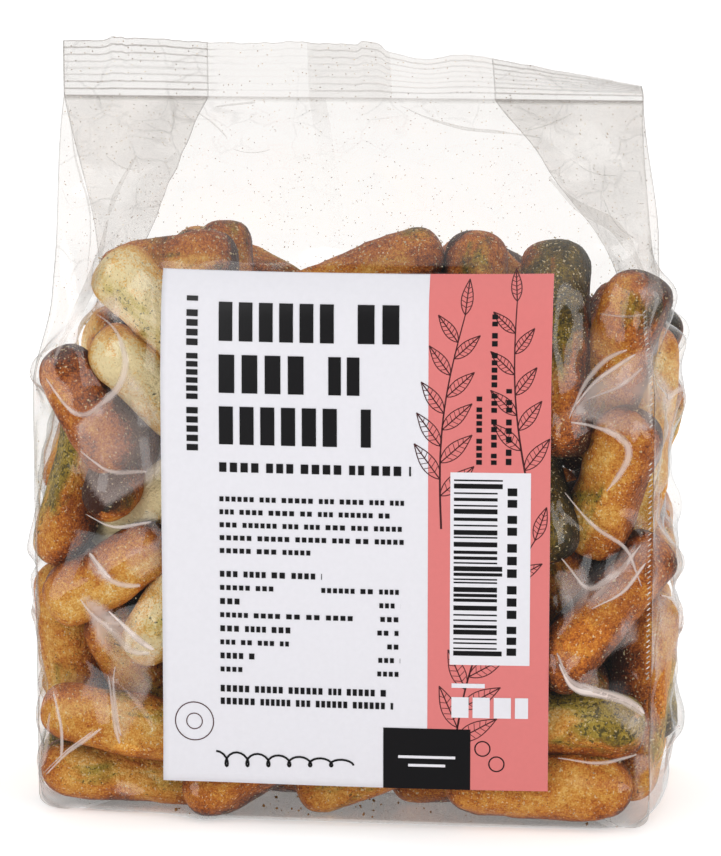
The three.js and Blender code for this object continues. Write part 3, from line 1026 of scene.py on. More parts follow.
    def sag(self, nominal: Array, panel: Array, s: Array, sticks: list[Stick]) -> Array:
        """Let the film sink between the sticks and stretch over them.

        Args:
            nominal: The smooth wall, rows by columns by three.
            panel: Panel number of each column.
            s: Place of each column across its panel.
            sticks: All sticks.

        Returns:
            How far each point lies inwards of the smooth wall.
        """
        rows, columns = nominal.shape[:2]
        free = np.full((rows, columns), self.max_sag)
        for kind in Panel:
            mine = panel == kind
            points = nominal[:, mine].reshape(-1, 3)
            free[:, mine] = self.obstacle(points, INWARD[kind], sticks).reshape(rows, -1)
        z = nominal[..., 2]
        x = nominal[..., 0]
        reach = np.where(panel % 2 == 0, FORM.half_width, FORM.half_depth)
        from_crease = (1 - np.abs(s)) * reach
        limit = np.minimum(free, 0.12 + 0.55 * from_crease[None, :])
        limit = np.minimum(limit, 0.4 + 0.5 * z)
        front = (panel == FRONT)[None, :]
        behind = front & (np.abs(x - self.label_centre) < self.label_half + 0.6)
        behind &= (z > self.label_low - 0.6) & (z < self.label_high + 0.6)
        limit = np.where(behind, np.clip(limit, 0, self.flat_sag), limit)
        force = self.sag_force * (1 - smoothstep(z, 100, 118)) * np.ones_like(x)
        tie = 0.02 * smoothstep(z, 104, 124)
        depth = limit * (1 - smoothstep(z, *self.free_band))
        for _ in range(self.stretch_rounds):
            around = (np.roll(depth, 1, 1) + np.roll(depth, -1, 1)) / 2
            padded = np.pad(depth, ((1, 1), (0, 0)), mode="edge")
            upright = (padded[2:] + padded[:-2]) / 2
            depth = (0.5 * around + 0.5 * upright + force) * (1 - tie)
            depth = np.minimum(depth, limit)
        across = np.where(panel % 2 == 0, x, nominal[..., 1])
        folds = self.crumple(across + 130 * panel[None, :], z) - 0.25 - self.folds(panel, across, z)
        fade = smoothstep(from_crease, 0, 5)[None, :] * smoothstep(z, 3, 9)
        fade = fade * (1 - smoothstep(z, FORM.seal_base - 9, FORM.seal_base - 1))
        fade = fade * np.where(behind, 0.0, 1.0)
        outward = np.where(panel % 2 == 1, -0.35 - 6 * smoothstep(z, 80, 96), -0.9)
        deepest = np.where(behind, self.flat_sag, np.maximum(free, outward))
        return np.minimum(depth + folds * fade, deepest)

    def seal(self, panel: Array, s: Array, up: Array) -> Array:
        """Points of the flat ribbed seal, with the folded sides pressed inside it.

        Args:
            panel: Panel number of each column.
            s: Place of each column across its panel.
            up: Place up the seal of each row, from nought to one, as a column.

        Returns:
            The points, rows by columns by three.
        """
        base = FORM.wall(panel[None, :], s[None, :], np.full((1, 1), FORM.seal_base))
        x = base[..., 0] * np.ones_like(up)
        dip = 1.7 * np.exp(-((x - 12.5) / 6.5) ** 2) + 0.6 * smoothstep(x, 4, 40)
        tab = 1.0 * smoothstep(x, -0.2, 0.6) * (1 - smoothstep(x, 4.6, 5.4))
        tab = tab + 0.5 * smoothstep(x, -51.5, -51) * (1 - smoothstep(x, -48.6, -48.2))
        ragged = 0.22 * lattice_noise(x, 0 * x, 1.6, 8) + 0.3 * lattice_noise(x, 0 * x, 7, 9)
        height = FORM.seal_height - dip + tab - 0.2 * np.sin(x / 5.5) + ragged - 0.9
        run = up * height
        bend = np.clip(run / 3, 0, 1)
        lean = math.radians(self.lean_degrees) * np.clip((x + 40) / 97, 0, 1) ** 1.6
        bent = np.where(run < 3, run * bend / 2, run - 1.5)
        angle = lean * bend
        wave = 0.5 * np.sin(x / 6.5 + 0.8) * smoothstep(x, 2, 14) * (1 - smoothstep(x, 28, 40)) * up
        pressed_flat = smoothstep(x, *self.rib_gap_left) * (1 - smoothstep(x, *self.rib_gap_right))
        flat_zone = 1 - 0.75 * pressed_flat
        rib = self.rib_depth * flat_zone * np.abs(np.sin(np.pi * (self.rib_count * up + wave)))
        rib = rib * np.sin(np.pi * up) ** 0.3
        layer = np.where(panel == FRONT, -1.0, np.where(panel == BACK, 1.0, 0))
        inner = np.where(panel % 2 == 1, np.where(panel == RIGHT, s, -s), layer)
        half = FORM.film_gap * inner[None, :] - rib
        y = -np.sin(lean) * bent + half * np.cos(angle)
        z = FORM.seal_base + run - (1 - np.cos(lean)) * bent + half * np.sin(angle)
        return np.stack([x, y, z], axis=-1)

    def build(self, contents: Contents, finish: bpy.types.Material) -> bpy.types.Object:
        """Make the film.

        Args:
            contents: The sticks that it lies on.
            finish: The clear film.

        Returns:
            The film's piece.
        """
        panel, s = self.columns()
        heights = np.linspace(FORM.edge_radius, FORM.seal_base, int(140 / self.row_pitch))
        nominal = FORM.wall(panel[None, :], s[None, :], heights[:, None])
        sink = self.sag(nominal, panel, s, contents.sticks)
        body = nominal + sink[..., None] * INWARD[panel]
        edge = self._bottom_edge(body[0], panel, s)
        up = np.linspace(0, 1, self.seal_rows)[1:, None]
        sealed = self.seal(panel, s, up)
        rows = np.concatenate([self._floor(edge[0]), edge, body, sealed])
        self.rows, self.panel, self.places = rows, panel, s
        z = rows[..., 2]
        is_side = panel % 2 == 1
        across = np.where(is_side, rows[..., 1], rows[..., 0])
        in_seal = np.arange(len(rows)) > len(rows) - self.seal_rows
        # Near the seal and on the sides, facet edges get grey painted shade.
        near_seal = 0.08 + 0.7 * smoothstep(z, FORM.seal_base - 16, FORM.seal_base)
        painted_facet_shade_amount = smoothstep(z, 100, 112) * np.where(is_side, 1.0, near_seal)
        painted_facet_shade_amount[in_seal] *= 0.22
        sheets = Sheets()
        sheets.add(rows, closed=True, crease=self._crease_marks(rows, panel, s),
                   veil=self.veils(panel, across, z), weld=(in_seal[:, None] * is_side).astype(float),
                   wear=painted_facet_shade_amount)
        piece = sheets.piece("bag_film", finish)
        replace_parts(piece, "bag")
        return piece

    def veils(self, panel: Array, across: Array, z: Array) -> Array:
        """Share of painted softbox reflection where the film stands off the sticks in flat facets.

        Args:
            panel: Panel number of each column.
            across: Place across its panel of each point, in mm.
            z: Height of each point.

        Returns:
            The painted reflection of each point, from nought to one.
        """
        total = np.zeros_like(z)
        for veil in PAINTED_REFLECTIONS:
            mine = panel == veil.panel
            a, b = across[:, mine], z[:, mine]
            inside = np.zeros(a.shape, bool)
            away = np.full(a.shape, 99.0)
            for (a0, b0), (a1, b1) in zip(veil.outline, veil.outline[1:] + veil.outline[:1]):
                crosses = ((b0 > b) != (b1 > b)) & (a < a0 + (b - b0) * (a1 - a0) / (b1 - b0 + 1e-9))
                inside ^= crosses
                along = ((a - a0) * (a1 - a0) + (b - b0) * (b1 - b0)) / math.dist((a0, b0), (a1, b1)) ** 2
                share = np.clip(along, 0, 1)
                away = np.minimum(away, np.hypot(a - a0 - share * (a1 - a0), b - b0 - share * (b1 - b0)))
            depth = np.where(inside, away, -away)
            painted_light_share = 0.75 + 0.5 * lattice_noise(a, b, 4.5, 77)
            shown = veil.strength * smoothstep(depth, -0.5, 0.6)
            shown = shown * (0.62 + 0.38 * np.exp(-np.maximum(depth, 0) / 1.6))
            total[:, mine] = np.maximum(total[:, mine], shown * painted_light_share)
        return np.clip(total, 0, 1)

    def folded_strips(self, finish: bpy.types.Material) -> bpy.types.Object:
        """Make the doubled film along the crisp folds and the folded strips, with painted reflection lines
        over the sticks and grey painted shade lines above them.

        Args:
            finish: The clear film.

        Returns:
            Their piece.
        """
        # Each fold below the fill gets a strip with a painted highlight line along it.
        runs = [FilmStrip(f.panel, f.run, 1.1 * f.height, 0.75) for f in FOLDS if f.run[0][1] < 112]
        body = self.rows[self.floor_rows + 6:-self.seal_rows]
        heights = np.linspace(FORM.edge_radius, FORM.seal_base, int(140 / self.row_pitch))[:len(body)]
        sheets = Sheets()
        for strip in runs + STRIPS:
            run = np.array(strip.run)
            length = np.concatenate([[0], np.cumsum(np.linalg.norm(np.diff(run, axis=0), axis=1))])
            at = np.arange(0, length[-1], self.strip_pitch)
            smooth = np.array([np.convolve(np.pad(np.interp(at, length, run[:, k]), 4, mode="edge"),
                                           np.ones(9) / 9, "valid") for k in range(2)])
            along = np.gradient(smooth, axis=1)
            along /= np.linalg.norm(along, axis=0)
            half = strip.width / 2 * np.sin(np.pi * np.clip(at / length[-1], 0.02, 0.98)) ** 0.5
            half = half * (1 + 0.35 * lattice_noise(at, 0 * at, 3, 19))
            wide = np.linspace(-1, 1, 4)[:, None]
            across = smooth[0] - along[1] * half * wide
            up = smooth[1] + along[0] * half * wide
            mine = np.flatnonzero(self.panel == strip.panel)
            axis = 0 if strip.panel % 2 == 0 else 1
            row = np.clip(np.interp(up, heights, np.arange(len(body))), 0, len(body) - 1.001)
            line = mix(body[row.astype(int)[..., None], mine], body[row.astype(int)[..., None] + 1, mine],
                       (row % 1)[..., None, None])
            two = np.abs(line[..., axis] - across[..., None]).argsort(axis=-1)[..., :2]
            left, right = np.moveaxis(np.take_along_axis(line, two[..., None], 2), 2, 0)
            share = np.clip((across - left[..., axis]) / (right[..., axis] - left[..., axis]), 0, 1)
            place = mix(left, right, share[..., None])
            place[..., axis] = across
            place[..., 2] = up
            stand_off = self.strip_lift + self.strip_lift * (1 - np.abs(wide))
            place = place - INWARD[strip.panel] * stand_off[..., None]
            on_sticks = 1 - smoothstep(up, 100, 106)
            soft = np.where(np.abs(wide) < 0.5, 1.0, 0.15)
            sheets.add(place, crease=strip.painted_light_share * (1 - on_sticks), veil=strip.painted_light_share * on_sticks * soft)
        return sheets.piece("film_folds", finish)

    def fin_seam(self, finish: bpy.types.Material) -> bpy.types.Object:
        """Make the lengthwise seam of the back: a second layer of film, sealed along one side.

        Args:
            finish: The clear film.

        Returns:
            The seam's piece.
        """
        x = self.rows[-1, :, 0]
        back = self.panel == BACK
        sheets = Sheets()
        parts = (
            (slice(self.floor_rows, 1 - self.seal_rows), self.fin_narrow),
            (slice(-self.seal_rows, None), self.fin_right),
        )
        for rows, right in parts:
            sheet = self.rows[rows, back & (x > self.fin_left) & (x < right)].copy()
            share = (sheet[..., 0] - self.fin_left) / (right - self.fin_left)
            z = sheet[..., 2]
            low = smoothstep(z, 3, 12) * (1 - smoothstep(z, FORM.seal_base - 6, FORM.seal_base))
            lift = 0.12 + low * (0.08 + 0.4 * share ** 3 * (1 + 0.5 * lattice_noise(z, 0 * share, 9, 91)))
            sheet[..., 1] = np.minimum(sheet[..., 1] + lift, FORM.half_depth + FORM.back_bulge + 0.5)
            sheets.add(sheet, weld=mix(1.17, 0.3, smoothstep(z, FORM.seal_base - 14, FORM.seal_base)))
        return sheets.piece("back_fin_seam", finish)

    def bottom_flaps(self, finish: bpy.types.Material) -> bpy.types.Object:
        """Make the folded flaps of the block bottom, which double the film there.

        Args:
            finish: The clear film.

        Returns:
            The flaps' piece.
        """
        across = np.linspace(-1, 1, 60)[None, :]
        run = np.linspace(0, 1, 12)[:, None]
        wave = 0.10 * lattice_noise(across * 50, run * 20, 7, 97)
        sheets = Sheets()
        for way in (-1, 1):
            x = across * mix(54, 40, run)
            y = way * mix(26.5, 6, run) + 0 * x
            z = 0.32 + wave + 0.1 * (way > 0) + 0.5 * smoothstep(np.abs(across), 0.9, 1.0) * run
            # The flaps' inner edge gets a grey painted shade line.
            sheets.add(np.stack([x, y, z + 0 * x], axis=-1), crease=np.where(run < 1, 0, 0.6) + 0 * x)
        return sheets.piece("bottom_flaps", finish)

    def press_marks(self, finish: bpy.types.Material) -> bpy.types.Object:
        """Make the fine slanted marks that the sealing bar leaves along the right front edge.

        Args:
            finish: Pressed film, pale with a painted highlight on its tiny wrinkles.

        Returns:
            The marks' piece.
        """
        corners = []
        mine = np.flatnonzero(self.panel == FRONT)
        column = mine[np.argmin(np.abs(self.places[mine] - 0.985))]
        line = self.rows[self.floor_rows + 6:-self.seal_rows, column]
        line = line[line[:, 2] < 108]
        length = np.concatenate([[0], np.cumsum(np.linalg.norm(np.diff(line, axis=0), axis=1))])
        for start in np.arange(6, length[-1] - 2, self.mark_pitch):
            if lattice_noise(np.array(start), np.array(0.5), 9, 83) < -0.6:
                continue
            ends = [start, start + self.mark_length]
            low, high = np.array([np.interp(ends, length, line[:, k]) for k in range(3)]).T
            low = low + np.array([-0.36, -0.12, 0])
            high = high + np.array([0.16, -0.14, 0])
            wide = np.array([0.30, -0.01, 0])
            corners.append([low, low + wide, high + wide, high])
        points = np.array(corners).reshape(-1, 3)
        faces = np.arange(len(points)).reshape(-1, 4)
        return make_piece("edge_press_marks", points, faces, finish, smooth=False)

    def _bottom_edge(self, lowest: Array, panel: Array, s: Array) -> Array:
        """Round the film in under the bag.

        Args:
            lowest: The wall's lowest row of points.
            panel: Panel number of each column.
            s: Place of each column across its panel.

        Returns:
            The rows between the floor and the wall.
        """
        angle = np.linspace(0, np.pi / 2, 7)[:-1, None]
        corner = np.abs(s)[None, :] ** 6
        inward = 1 - np.sin(angle)
        is_long = (panel % 2 == 0)[None, :]
        at_corner = FORM.corner_inset * inward
        inset_x = mix(np.where(is_long, 0, FORM.edge_radius * inward), at_corner, corner)
        inset_y = mix(np.where(is_long, FORM.edge_radius * inward, 0), at_corner, corner)
        x = lowest[:, 0] - np.sign(lowest[:, 0]) * inset_x
        y = lowest[:, 1] - np.sign(lowest[:, 1]) * inset_y
        z = FORM.edge_radius * (1 - np.cos(angle)) + 0 * x
        return np.stack([x, y, z], axis=-1)

    def _floor(self, ring: Array) -> Array:
        """Close the bottom with a flat sheet that runs in to the middle line.

        Args:
            ring: The lowest row of the rounded edge.

        Returns:
            The rows of the flat bottom, from the middle outwards.
        """
        share = np.linspace(0.02, 1, self.floor_rows)[:-1, None]
        x = mix(np.clip(ring[:, 0], -38, 38), ring[:, 0], share)
        y = ring[:, 1] * share
        return np.stack([x, y, self.floor_height + 0 * x], axis=-1)

    def _crease_marks(self, rows: Array, panel: Array, s: Array) -> Array:
        """Mark the creases, side folds, seal ribs and edges with grey painted shade, which stands in for
        the shade and dark reflections of folded film.

        Args:
            rows: All points of the film.
            panel: Panel number of each column.
            s: Place of each column across its panel.

        Returns:
            A share from nought to one for each point.
        """
        reach = np.where(panel % 2 == 0, FORM.half_width, FORM.half_depth)
        from_crease = (1 - np.abs(s)) * reach
        marks = np.exp(-(from_crease / self.crease_mm) ** 2)[None, :] * np.ones(rows.shape[:2])
        is_side = (panel % 2 == 1)[None, :]
        fold = np.exp(-(np.abs(s) * FORM.half_depth / self.crease_mm) ** 2)[None, :]
        above = smoothstep(rows[..., 2], 88, 100)
        marks = np.maximum(marks, np.where(is_side, fold * above, 0))
        first = len(rows) - self.seal_rows + 1
        up = np.linspace(0, 1, self.seal_rows)[1:, None]
        ribs = 0.95 * np.maximum(0, 1 - np.abs(np.sin(np.pi * self.rib_count * up)) * 3.2)
        x = rows[first:, :, 0]
        gap = smoothstep(x, *self.rib_gap_left) * (1 - smoothstep(x, *self.rib_gap_right))
        ribs = ribs * (1 - 0.85 * gap)
        marks[first - 1] = np.maximum(marks[first - 1], 0.8)
        marks[first:] = np.maximum(marks[first:], ribs)
        marks[-1] = 1
        return marks


@dataclass
class Crumbs:
    """Loose crumbs and flour in the bag: on the topmost sticks, on the film and along the bottom."""

    on_sticks: int = 2600
    on_film: int = 1000
    on_floor: int = 160
    flour_mm: tuple[float, float] = (0.25, 0.75)
    speck_mm: tuple[float, float] = (0.12, 0.34)
    floor_mm: tuple[float, float] = (0.4, 1.1)
    fill_top: float = 110.0

    def _grains(self, name: str, places: Array, sizes: Array, seed: int,
                finish: bpy.types.Material) -> bpy.types.Object:
        """Make one kind of grain as small lopsided eight-sided lumps.

        Args:
            name: The piece's name.
            places: Centre of each grain.
            sizes: Size of each grain across.
            seed: Which draw it is.
            finish: Its material.

        Returns:
            The piece.
        """
        random = np.random.default_rng(seed)
        ball = np.array([[1, 0, 0], [-1, 0, 0], [0, 1, 0], [0, -1, 0], [0, 0, 1], [0, 0, -1]], float)
        sides = np.array([[0, 2, 4], [2, 1, 4], [1, 3, 4], [3, 0, 4],
                          [2, 0, 5], [1, 2, 5], [3, 1, 5], [0, 3, 5]])
        count = len(places)
        stretch = random.uniform(0.5, 1.1, (count, 6, 1))
        turn = np.linalg.qr(random.normal(size=(count, 3, 3)))[0]
        lumps = (ball[None] * stretch) @ turn * (sizes / 2)[:, None, None] + places[:, None, :]
        lumps[..., 2] = np.maximum(lumps[..., 2], 0.06)
        faces = (sides[None] + 6 * np.arange(count)[:, None, None]).reshape(-1, 3)
        return make_piece(name, lumps.reshape(-1, 3), faces, finish, smooth=False)

    def build(self, contents: Contents, bag: FilmBag) -> None:
        """Scatter the grains.

        Args:
            contents: The sticks that they lie on.
            bag: The film that they cling to.
        """
        random = np.random.default_rng(41)
        sticks = contents.sticks
        points = np.concatenate([contents.mesh(stick)[0].reshape(-1, 3) for stick in sticks])
        owner = np.repeat(np.arange(len(sticks)), contents.rings * contents.sides)
        centre = np.array([stick.centre for stick in sticks])[owner]
        axis = np.array([stick.axis for stick in sticks])[owner]
        across = points - centre - ((points - centre) * axis).sum(1)[:, None] * axis
        upward = across[:, 2] / np.maximum(np.linalg.norm(across, axis=1), 1e-3)
        score = smoothstep(points[:, 2], 88, 108) * smoothstep(upward, 0.0, 0.7) + 0.02
        chosen = random.choice(len(points), 2 * self.on_sticks, replace=False, p=score / score.sum())
        free = np.ones(len(chosen), bool)
        for i, stick in enumerate(sticks):
            offset = points[chosen] - stick.centre
            along = np.clip(offset @ stick.axis, -stick.half, stick.half)
            inside = np.linalg.norm(offset - along[:, None] * stick.axis, axis=1) < stick.radius * 0.98
            free &= ~(inside & (owner[chosen] != i))
        top = points[chosen[free]][:self.on_sticks]
        top = top + random.normal(size=top.shape) * 0.28
        self._grains("flour_crumbs", top, random.uniform(*self.flour_mm, len(top)), 42,
                     CrumbDust("flour_and_pale_crumb", "#ecd9b4").build())
        body = bag.rows[bag.floor_rows + 6:-bag.seal_rows]
        density = 0.45 + np.exp(-((body[:, 0, 2] - self.fill_top) / 9) ** 2)
        row = random.choice(len(body), self.on_film, p=density / density.sum())
        column = random.integers(0, body.shape[1], self.on_film)
        clinging = body[row, column] + INWARD[bag.panel[column]] * 0.16
        self._grains("herb_specks", clinging, random.uniform(*self.speck_mm, len(clinging)), 43,
                     CrumbDust("dried_herb_and_crust", "#6b5638").build())
        x = random.uniform(-40, 56, self.on_floor)
        y = random.uniform(-25, 25, self.on_floor) - 3 * np.abs(random.normal(size=self.on_floor))
        size = random.uniform(*self.floor_mm, self.on_floor)
        fallen = np.stack([x, np.clip(y, -26, 26), 0.6 * size], axis=1)
        self._grains("fallen_crumbs", fallen, size, 44,
                     CrumbDust("toasted_crumb", "#b98548").build())


@dataclass(frozen=True)
class CrumbDust:
    """Broken crust, dried herb or flour: matt, grainy and uneven in tone."""

    name: str
    colour: str
    roughness: float = 0.8
    # Tones change every 1.1 mm, so that each grain has its own.
    tones_per_metre: float = 900.0

    def build(self) -> bpy.types.Material:
        """Make the grains' material.

        Returns:
            A matt colour that changes from grain to grain.
        """
        material, node = new_material(self.name)
        place = node("TexCoord").outputs["Object"]
        each = node("TexNoise", {"Vector": place, "Scale": self.tones_per_metre, "Detail": 1.0})
        tone = node("MapRange", [each, 0.3, 0.7, 0.45, 1.1])
        colour = node("Mix", {0: 1.0, 6: linear(self.colour), 7: tone},
                          data_type="RGBA", blend_type="MULTIPLY")
        shader = node("BsdfPrincipled", {
            "Base Color": colour.outputs[2], "Roughness": self.roughness, "Specular IOR Level": 0.2})
        node("OutputMaterial", [shader])
        return material


@dataclass(frozen=True)
class ClearFilm:
    """Biaxially stretched polypropylene film: crisp, clear and glossy, with dust on it."""

    ior: float = 1.49
    roughness: float = 0.1
    # Real dust is a tenth of this size: it is drawn at a quarter of a millimetre so that it shows.
    dust_pitch: float = 0.9
    dust_size: float = 0.14
    # Film that has been squeezed keeps facets of 5 to 10 mm, whose edges get grey painted shade.
    facet_pitch: float = 9.0
    facet_drift: float = 6.0
    shade_patches_per_metre: float = 70.0
    drift_per_metre: float = 110.0
    ripple_per_metre: float = 420.0
    painted_crease_shade: float = 0.34
    veil_haze: float = 0.72
    weld_clarity: float = 0.85

    def build(self) -> bpy.types.Material:
        """Make the film's material.

        Returns:
            A see-through sheet whose two faces both shine.
        """
        material, node = new_material("stretched_polypropylene_film")
        place = node("TexCoord").outputs["Object"]
        weld = node("Attribute", attribute_name="weld")
        tint = node("Mix", {0: weld.outputs["Fac"], 6: linear("#fbfaf9"), 7: linear("#fefefe")},
                    data_type="RGBA")
        clear = node("BsdfTransparent", {"Color": tint.outputs[2]})
        # Grey painted shade along creases, folds, seal ribs, flap edges and, in patches, facet edges.
        painted_fold_shade = node("BsdfDiffuse", {"Color": linear("#a39c95")})
        crease = node("Attribute", attribute_name="crease")
        patch = node("TexNoise", {
            "Vector": place, "Scale": self.shade_patches_per_metre, "Detail": 6.0, "Roughness": 0.6})
        wear = node("Attribute", attribute_name="wear")
        most = node("Math", [wear.outputs["Fac"], 0.105, 0.008], operation="MULTIPLY_ADD")
        shade_patches = node("MapRange", [patch, 0.44, 0.6, 0.0, 1.0])
        drift = node("TexNoise", {"Vector": place, "Scale": self.drift_per_metre, "Detail": 3.0})
        bent = node("VectorMath", [drift.outputs["Color"], (self.facet_drift * MM,) * 3, place],
                    operation="MULTIPLY_ADD")
        facets = node("TexVoronoi", {
            "Vector": bent, "Scale": 1 / (self.facet_pitch * MM)}, feature="DISTANCE_TO_EDGE")
        folded = node("MapRange", [facets.outputs["Distance"], 0.0, 0.04, 2.0, 0.4])
        crumple = node("Math", [shade_patches, folded], operation="MULTIPLY")
        painted_facet_shade_amount = node("Math", [crumple, most], operation="MULTIPLY")
        lines = node("Math", [crease.outputs["Fac"], self.painted_crease_shade, painted_facet_shade_amount], operation="MULTIPLY_ADD")
        creased = node("MixShader", {0: lines, 1: clear, 2: painted_fold_shade})
        # Painted reflection of the softboxes on flat facets over the sticks, drawn as a pale pinkish
        # diffuse.
        veil = node("Attribute", attribute_name="veil")
        painted_reflection_diffuse = node("BsdfDiffuse", {"Color": linear("#e6d6cf")})
        amount = node("Math", [veil.outputs["Fac"], self.veil_haze], operation="MULTIPLY", use_clamp=True)
        sheet = node("MixShader", {0: amount, 1: creased, 2: painted_reflection_diffuse})
        cells = node("TexVoronoi", {"Vector": place, "Scale": 1 / (self.dust_pitch * MM)})
        dot = node("Math", [cells.outputs["Distance"], self.dust_size], operation="LESS_THAN")
        pick = node("SeparateColor", {0: cells.outputs["Color"]})
        few = node("Math", [pick, 0.26], operation="LESS_THAN")
        grain = node("Math", [dot, few], operation="MULTIPLY")
        height = node("SeparateXYZ", [place])
        thinning = node("MapRange", [height.outputs[2], 0.098, 0.116, 0.7, 0.85])
        dust = node("Math", [grain, thinning], operation="MULTIPLY")
        flour = node("ValToRGB", {0: pick.outputs[1]}, stops=[
            (0.0, "#6d5236"), (0.4, "#b8966a"), (1.0, "#efe0c2")])
        crumb = node("BsdfDiffuse", {"Color": flour})
        dusted = node("MixShader", {0: dust, 1: sheet, 2: crumb})
        ripple = node("TexNoise", {"Vector": place, "Scale": self.ripple_per_metre, "Detail": 2.0})
        bump = node("Bump", {"Height": ripple, "Strength": 0.04, "Distance": 0.0004})
        shine = node("BsdfGlossy", {"Roughness": self.roughness, "Normal": bump})
        straight_on = ((self.ior - 1) / (self.ior + 1)) ** 2
        facing = node("LayerWeight", {"Blend": 0.5, "Normal": bump})
        grazing = node("Math", [facing.outputs["Facing"], 5.0], operation="POWER")
        both = node("Math", [grazing, 1 - 2 * straight_on, 2 * straight_on],
                    operation="MULTIPLY_ADD", use_clamp=True)
        open_air = node("Math", [weld.outputs["Fac"], -self.weld_clarity, 1.0], operation="MULTIPLY_ADD")
        mirrored = node("Math", [both, open_air], operation="MULTIPLY")
        done = node("MixShader", {0: mirrored, 1: dusted, 2: shine})
        node("OutputMaterial", [done])
        return material


@dataclass(frozen=True)
class BakedDough:
    """Oil dough rolled into ropes, cut short and baked: satin, browned outside, herb-flecked."""

    roughness: float = 0.52
    # The crumb of rolled oil dough shows as grains of a third to one millimetre, under blotches of
    # browning and swirls of leaf of 4 to 5 mm.
    grain_mm: float = 0.9
    fleck_mm: float = 0.8
    blotch_mm: float = 4.5
    sand_mm: float = 0.34
    swirl_mm: float = 4.6
    flour_mm: float = 0.55

    def build(self) -> bpy.types.Material:
        """Make the crust's material.

        Returns:
            A crust that browns from cream to deep orange-brown, by its baking and by painted shade round
            each stick, with green marbling.
        """
        material, node = new_material("baked_oil_dough")
        place = node("Attribute", attribute_name="stick_mm").outputs["Vector"]
        # The bake mark holds real browning and painted shade, darker on each stick's far side from its
        # pale, lit-looking side.
        bake = node("Attribute", attribute_name="bake").outputs["Fac"]
        herb = node("Attribute", attribute_name="herb").outputs["Fac"]
        rolled = node("VectorMath", [place, (0.42, 1.0, 1.0)], operation="MULTIPLY")
        blotch, grit, sand, swirl, flecks, specks = (node("TexNoise", {
            "Vector": where, "Scale": 1 / size, "Detail": detail, "Roughness": rough, "Distortion": warp})
            for where, size, detail, rough, warp in (
                (place, self.blotch_mm, 5.0, 0.62, 0.4), (place, self.grain_mm, 3.0, 0.7, 0.0),
                (place, self.sand_mm, 1.0, 0.5, 0.0), (rolled, self.swirl_mm, 4.0, 0.62, 0.8),
                (place, self.fleck_mm, 2.5, 0.6, 0.8), (place, self.flour_mm, 1.0, 0.5, 0.0)))
        crust = node("Math", [sand, 0.62, bake], operation="MULTIPLY_ADD")
        rough_tone = node("Math", [grit, 0.6, crust], operation="MULTIPLY_ADD")
        spread = node("Math", [blotch, 0.75, rough_tone], operation="MULTIPLY_ADD")
        uneven = node("Math", [spread, -0.91], operation="ADD")
        toasted = node("ValToRGB", {0: uneven}, stops=[
            (0.05, "#ffedba"), (0.24, "#f3c064"), (0.44, "#e09a38"), (0.62, "#c8701c"),
            (0.80, "#9a4a0e"), (1.0, "#451c06")])
        leafy = node("ValToRGB", {0: uneven}, stops=[
            (0.05, "#d6c266"), (0.28, "#b49d38"), (0.50, "#8c7a20"),
            (0.75, "#554a17"), (1.0, "#26241a")])
        green = node("Math", [swirl, 1.6, herb], operation="MULTIPLY_ADD")
        share = node("MapRange", [green, 1.02, 1.36, 0.0, 0.9])
        dough = node("Mix", {0: share, 6: toasted, 7: leafy}, data_type="RGBA")
        often = node("MapRange", [green, 0.7, 1.7, 0.69, 0.5])
        over = node("Math", [flecks, often], operation="SUBTRACT")
        leaf = node("MapRange", [over, 0.0, 0.05, 0.0, 0.8])
        flecked = node("Mix", {0: leaf, 6: dough.outputs[2], 7: linear("#37351c")}, data_type="RGBA")
        flour = node("MapRange", [specks, 0.66, 0.72, 0.0, 0.8])
        floured = node("Mix", {0: flour, 6: flecked.outputs[2], 7: linear("#f0dcae")}, data_type="RGBA")
        lumps = node("Math", [blotch, 2.2, grit], operation="MULTIPLY_ADD")
        bump = node("Bump", {"Height": lumps, "Strength": 0.85, "Distance": 0.0009})
        shader = node("BsdfPrincipled", {
            "Base Color": floured.outputs[2], "Roughness": self.roughness, "Normal": bump,
            "Specular IOR Level": 0.35})
        node("OutputMaterial", [shader])
        return material


@dataclass(frozen=True)
class CoatedPaper:
    """Coated label paper printed in one ink: smooth, satin, faintly fibrous."""

    name: str
    colour: str
    roughness: float = 0.42
    # Paper fibres are too fine to show, so the mottling is drawn at 1.1 mm.
    mottle_per_metre: float = 900.0

    def build(self) -> bpy.types.Material:
        """Make the paper's material.

        Returns:
            A near-flat colour with slight mottling of the ink and the fibres.
        """
        material, node = new_material(self.name)
        place = node("TexCoord").outputs["Object"]
        mottle = node("TexNoise", {"Vector": place, "Scale": self.mottle_per_metre, "Detail": 3.0})
        tone = node("MapRange", [mottle, 0.3, 0.7, 0.985, 1.01])
        ink = node("Mix", {0: 1.0, 6: linear(self.colour), 7: tone}, data_type="RGBA",
                   blend_type="MULTIPLY")
        bump = node("Bump", {"Height": mottle, "Strength": 0.08, "Distance": 0.0002})
        shader = node("BsdfPrincipled", {
            "Base Color": ink.outputs[2], "Roughness": self.roughness, "Normal": bump})
        node("OutputMaterial", [shader])
        return material


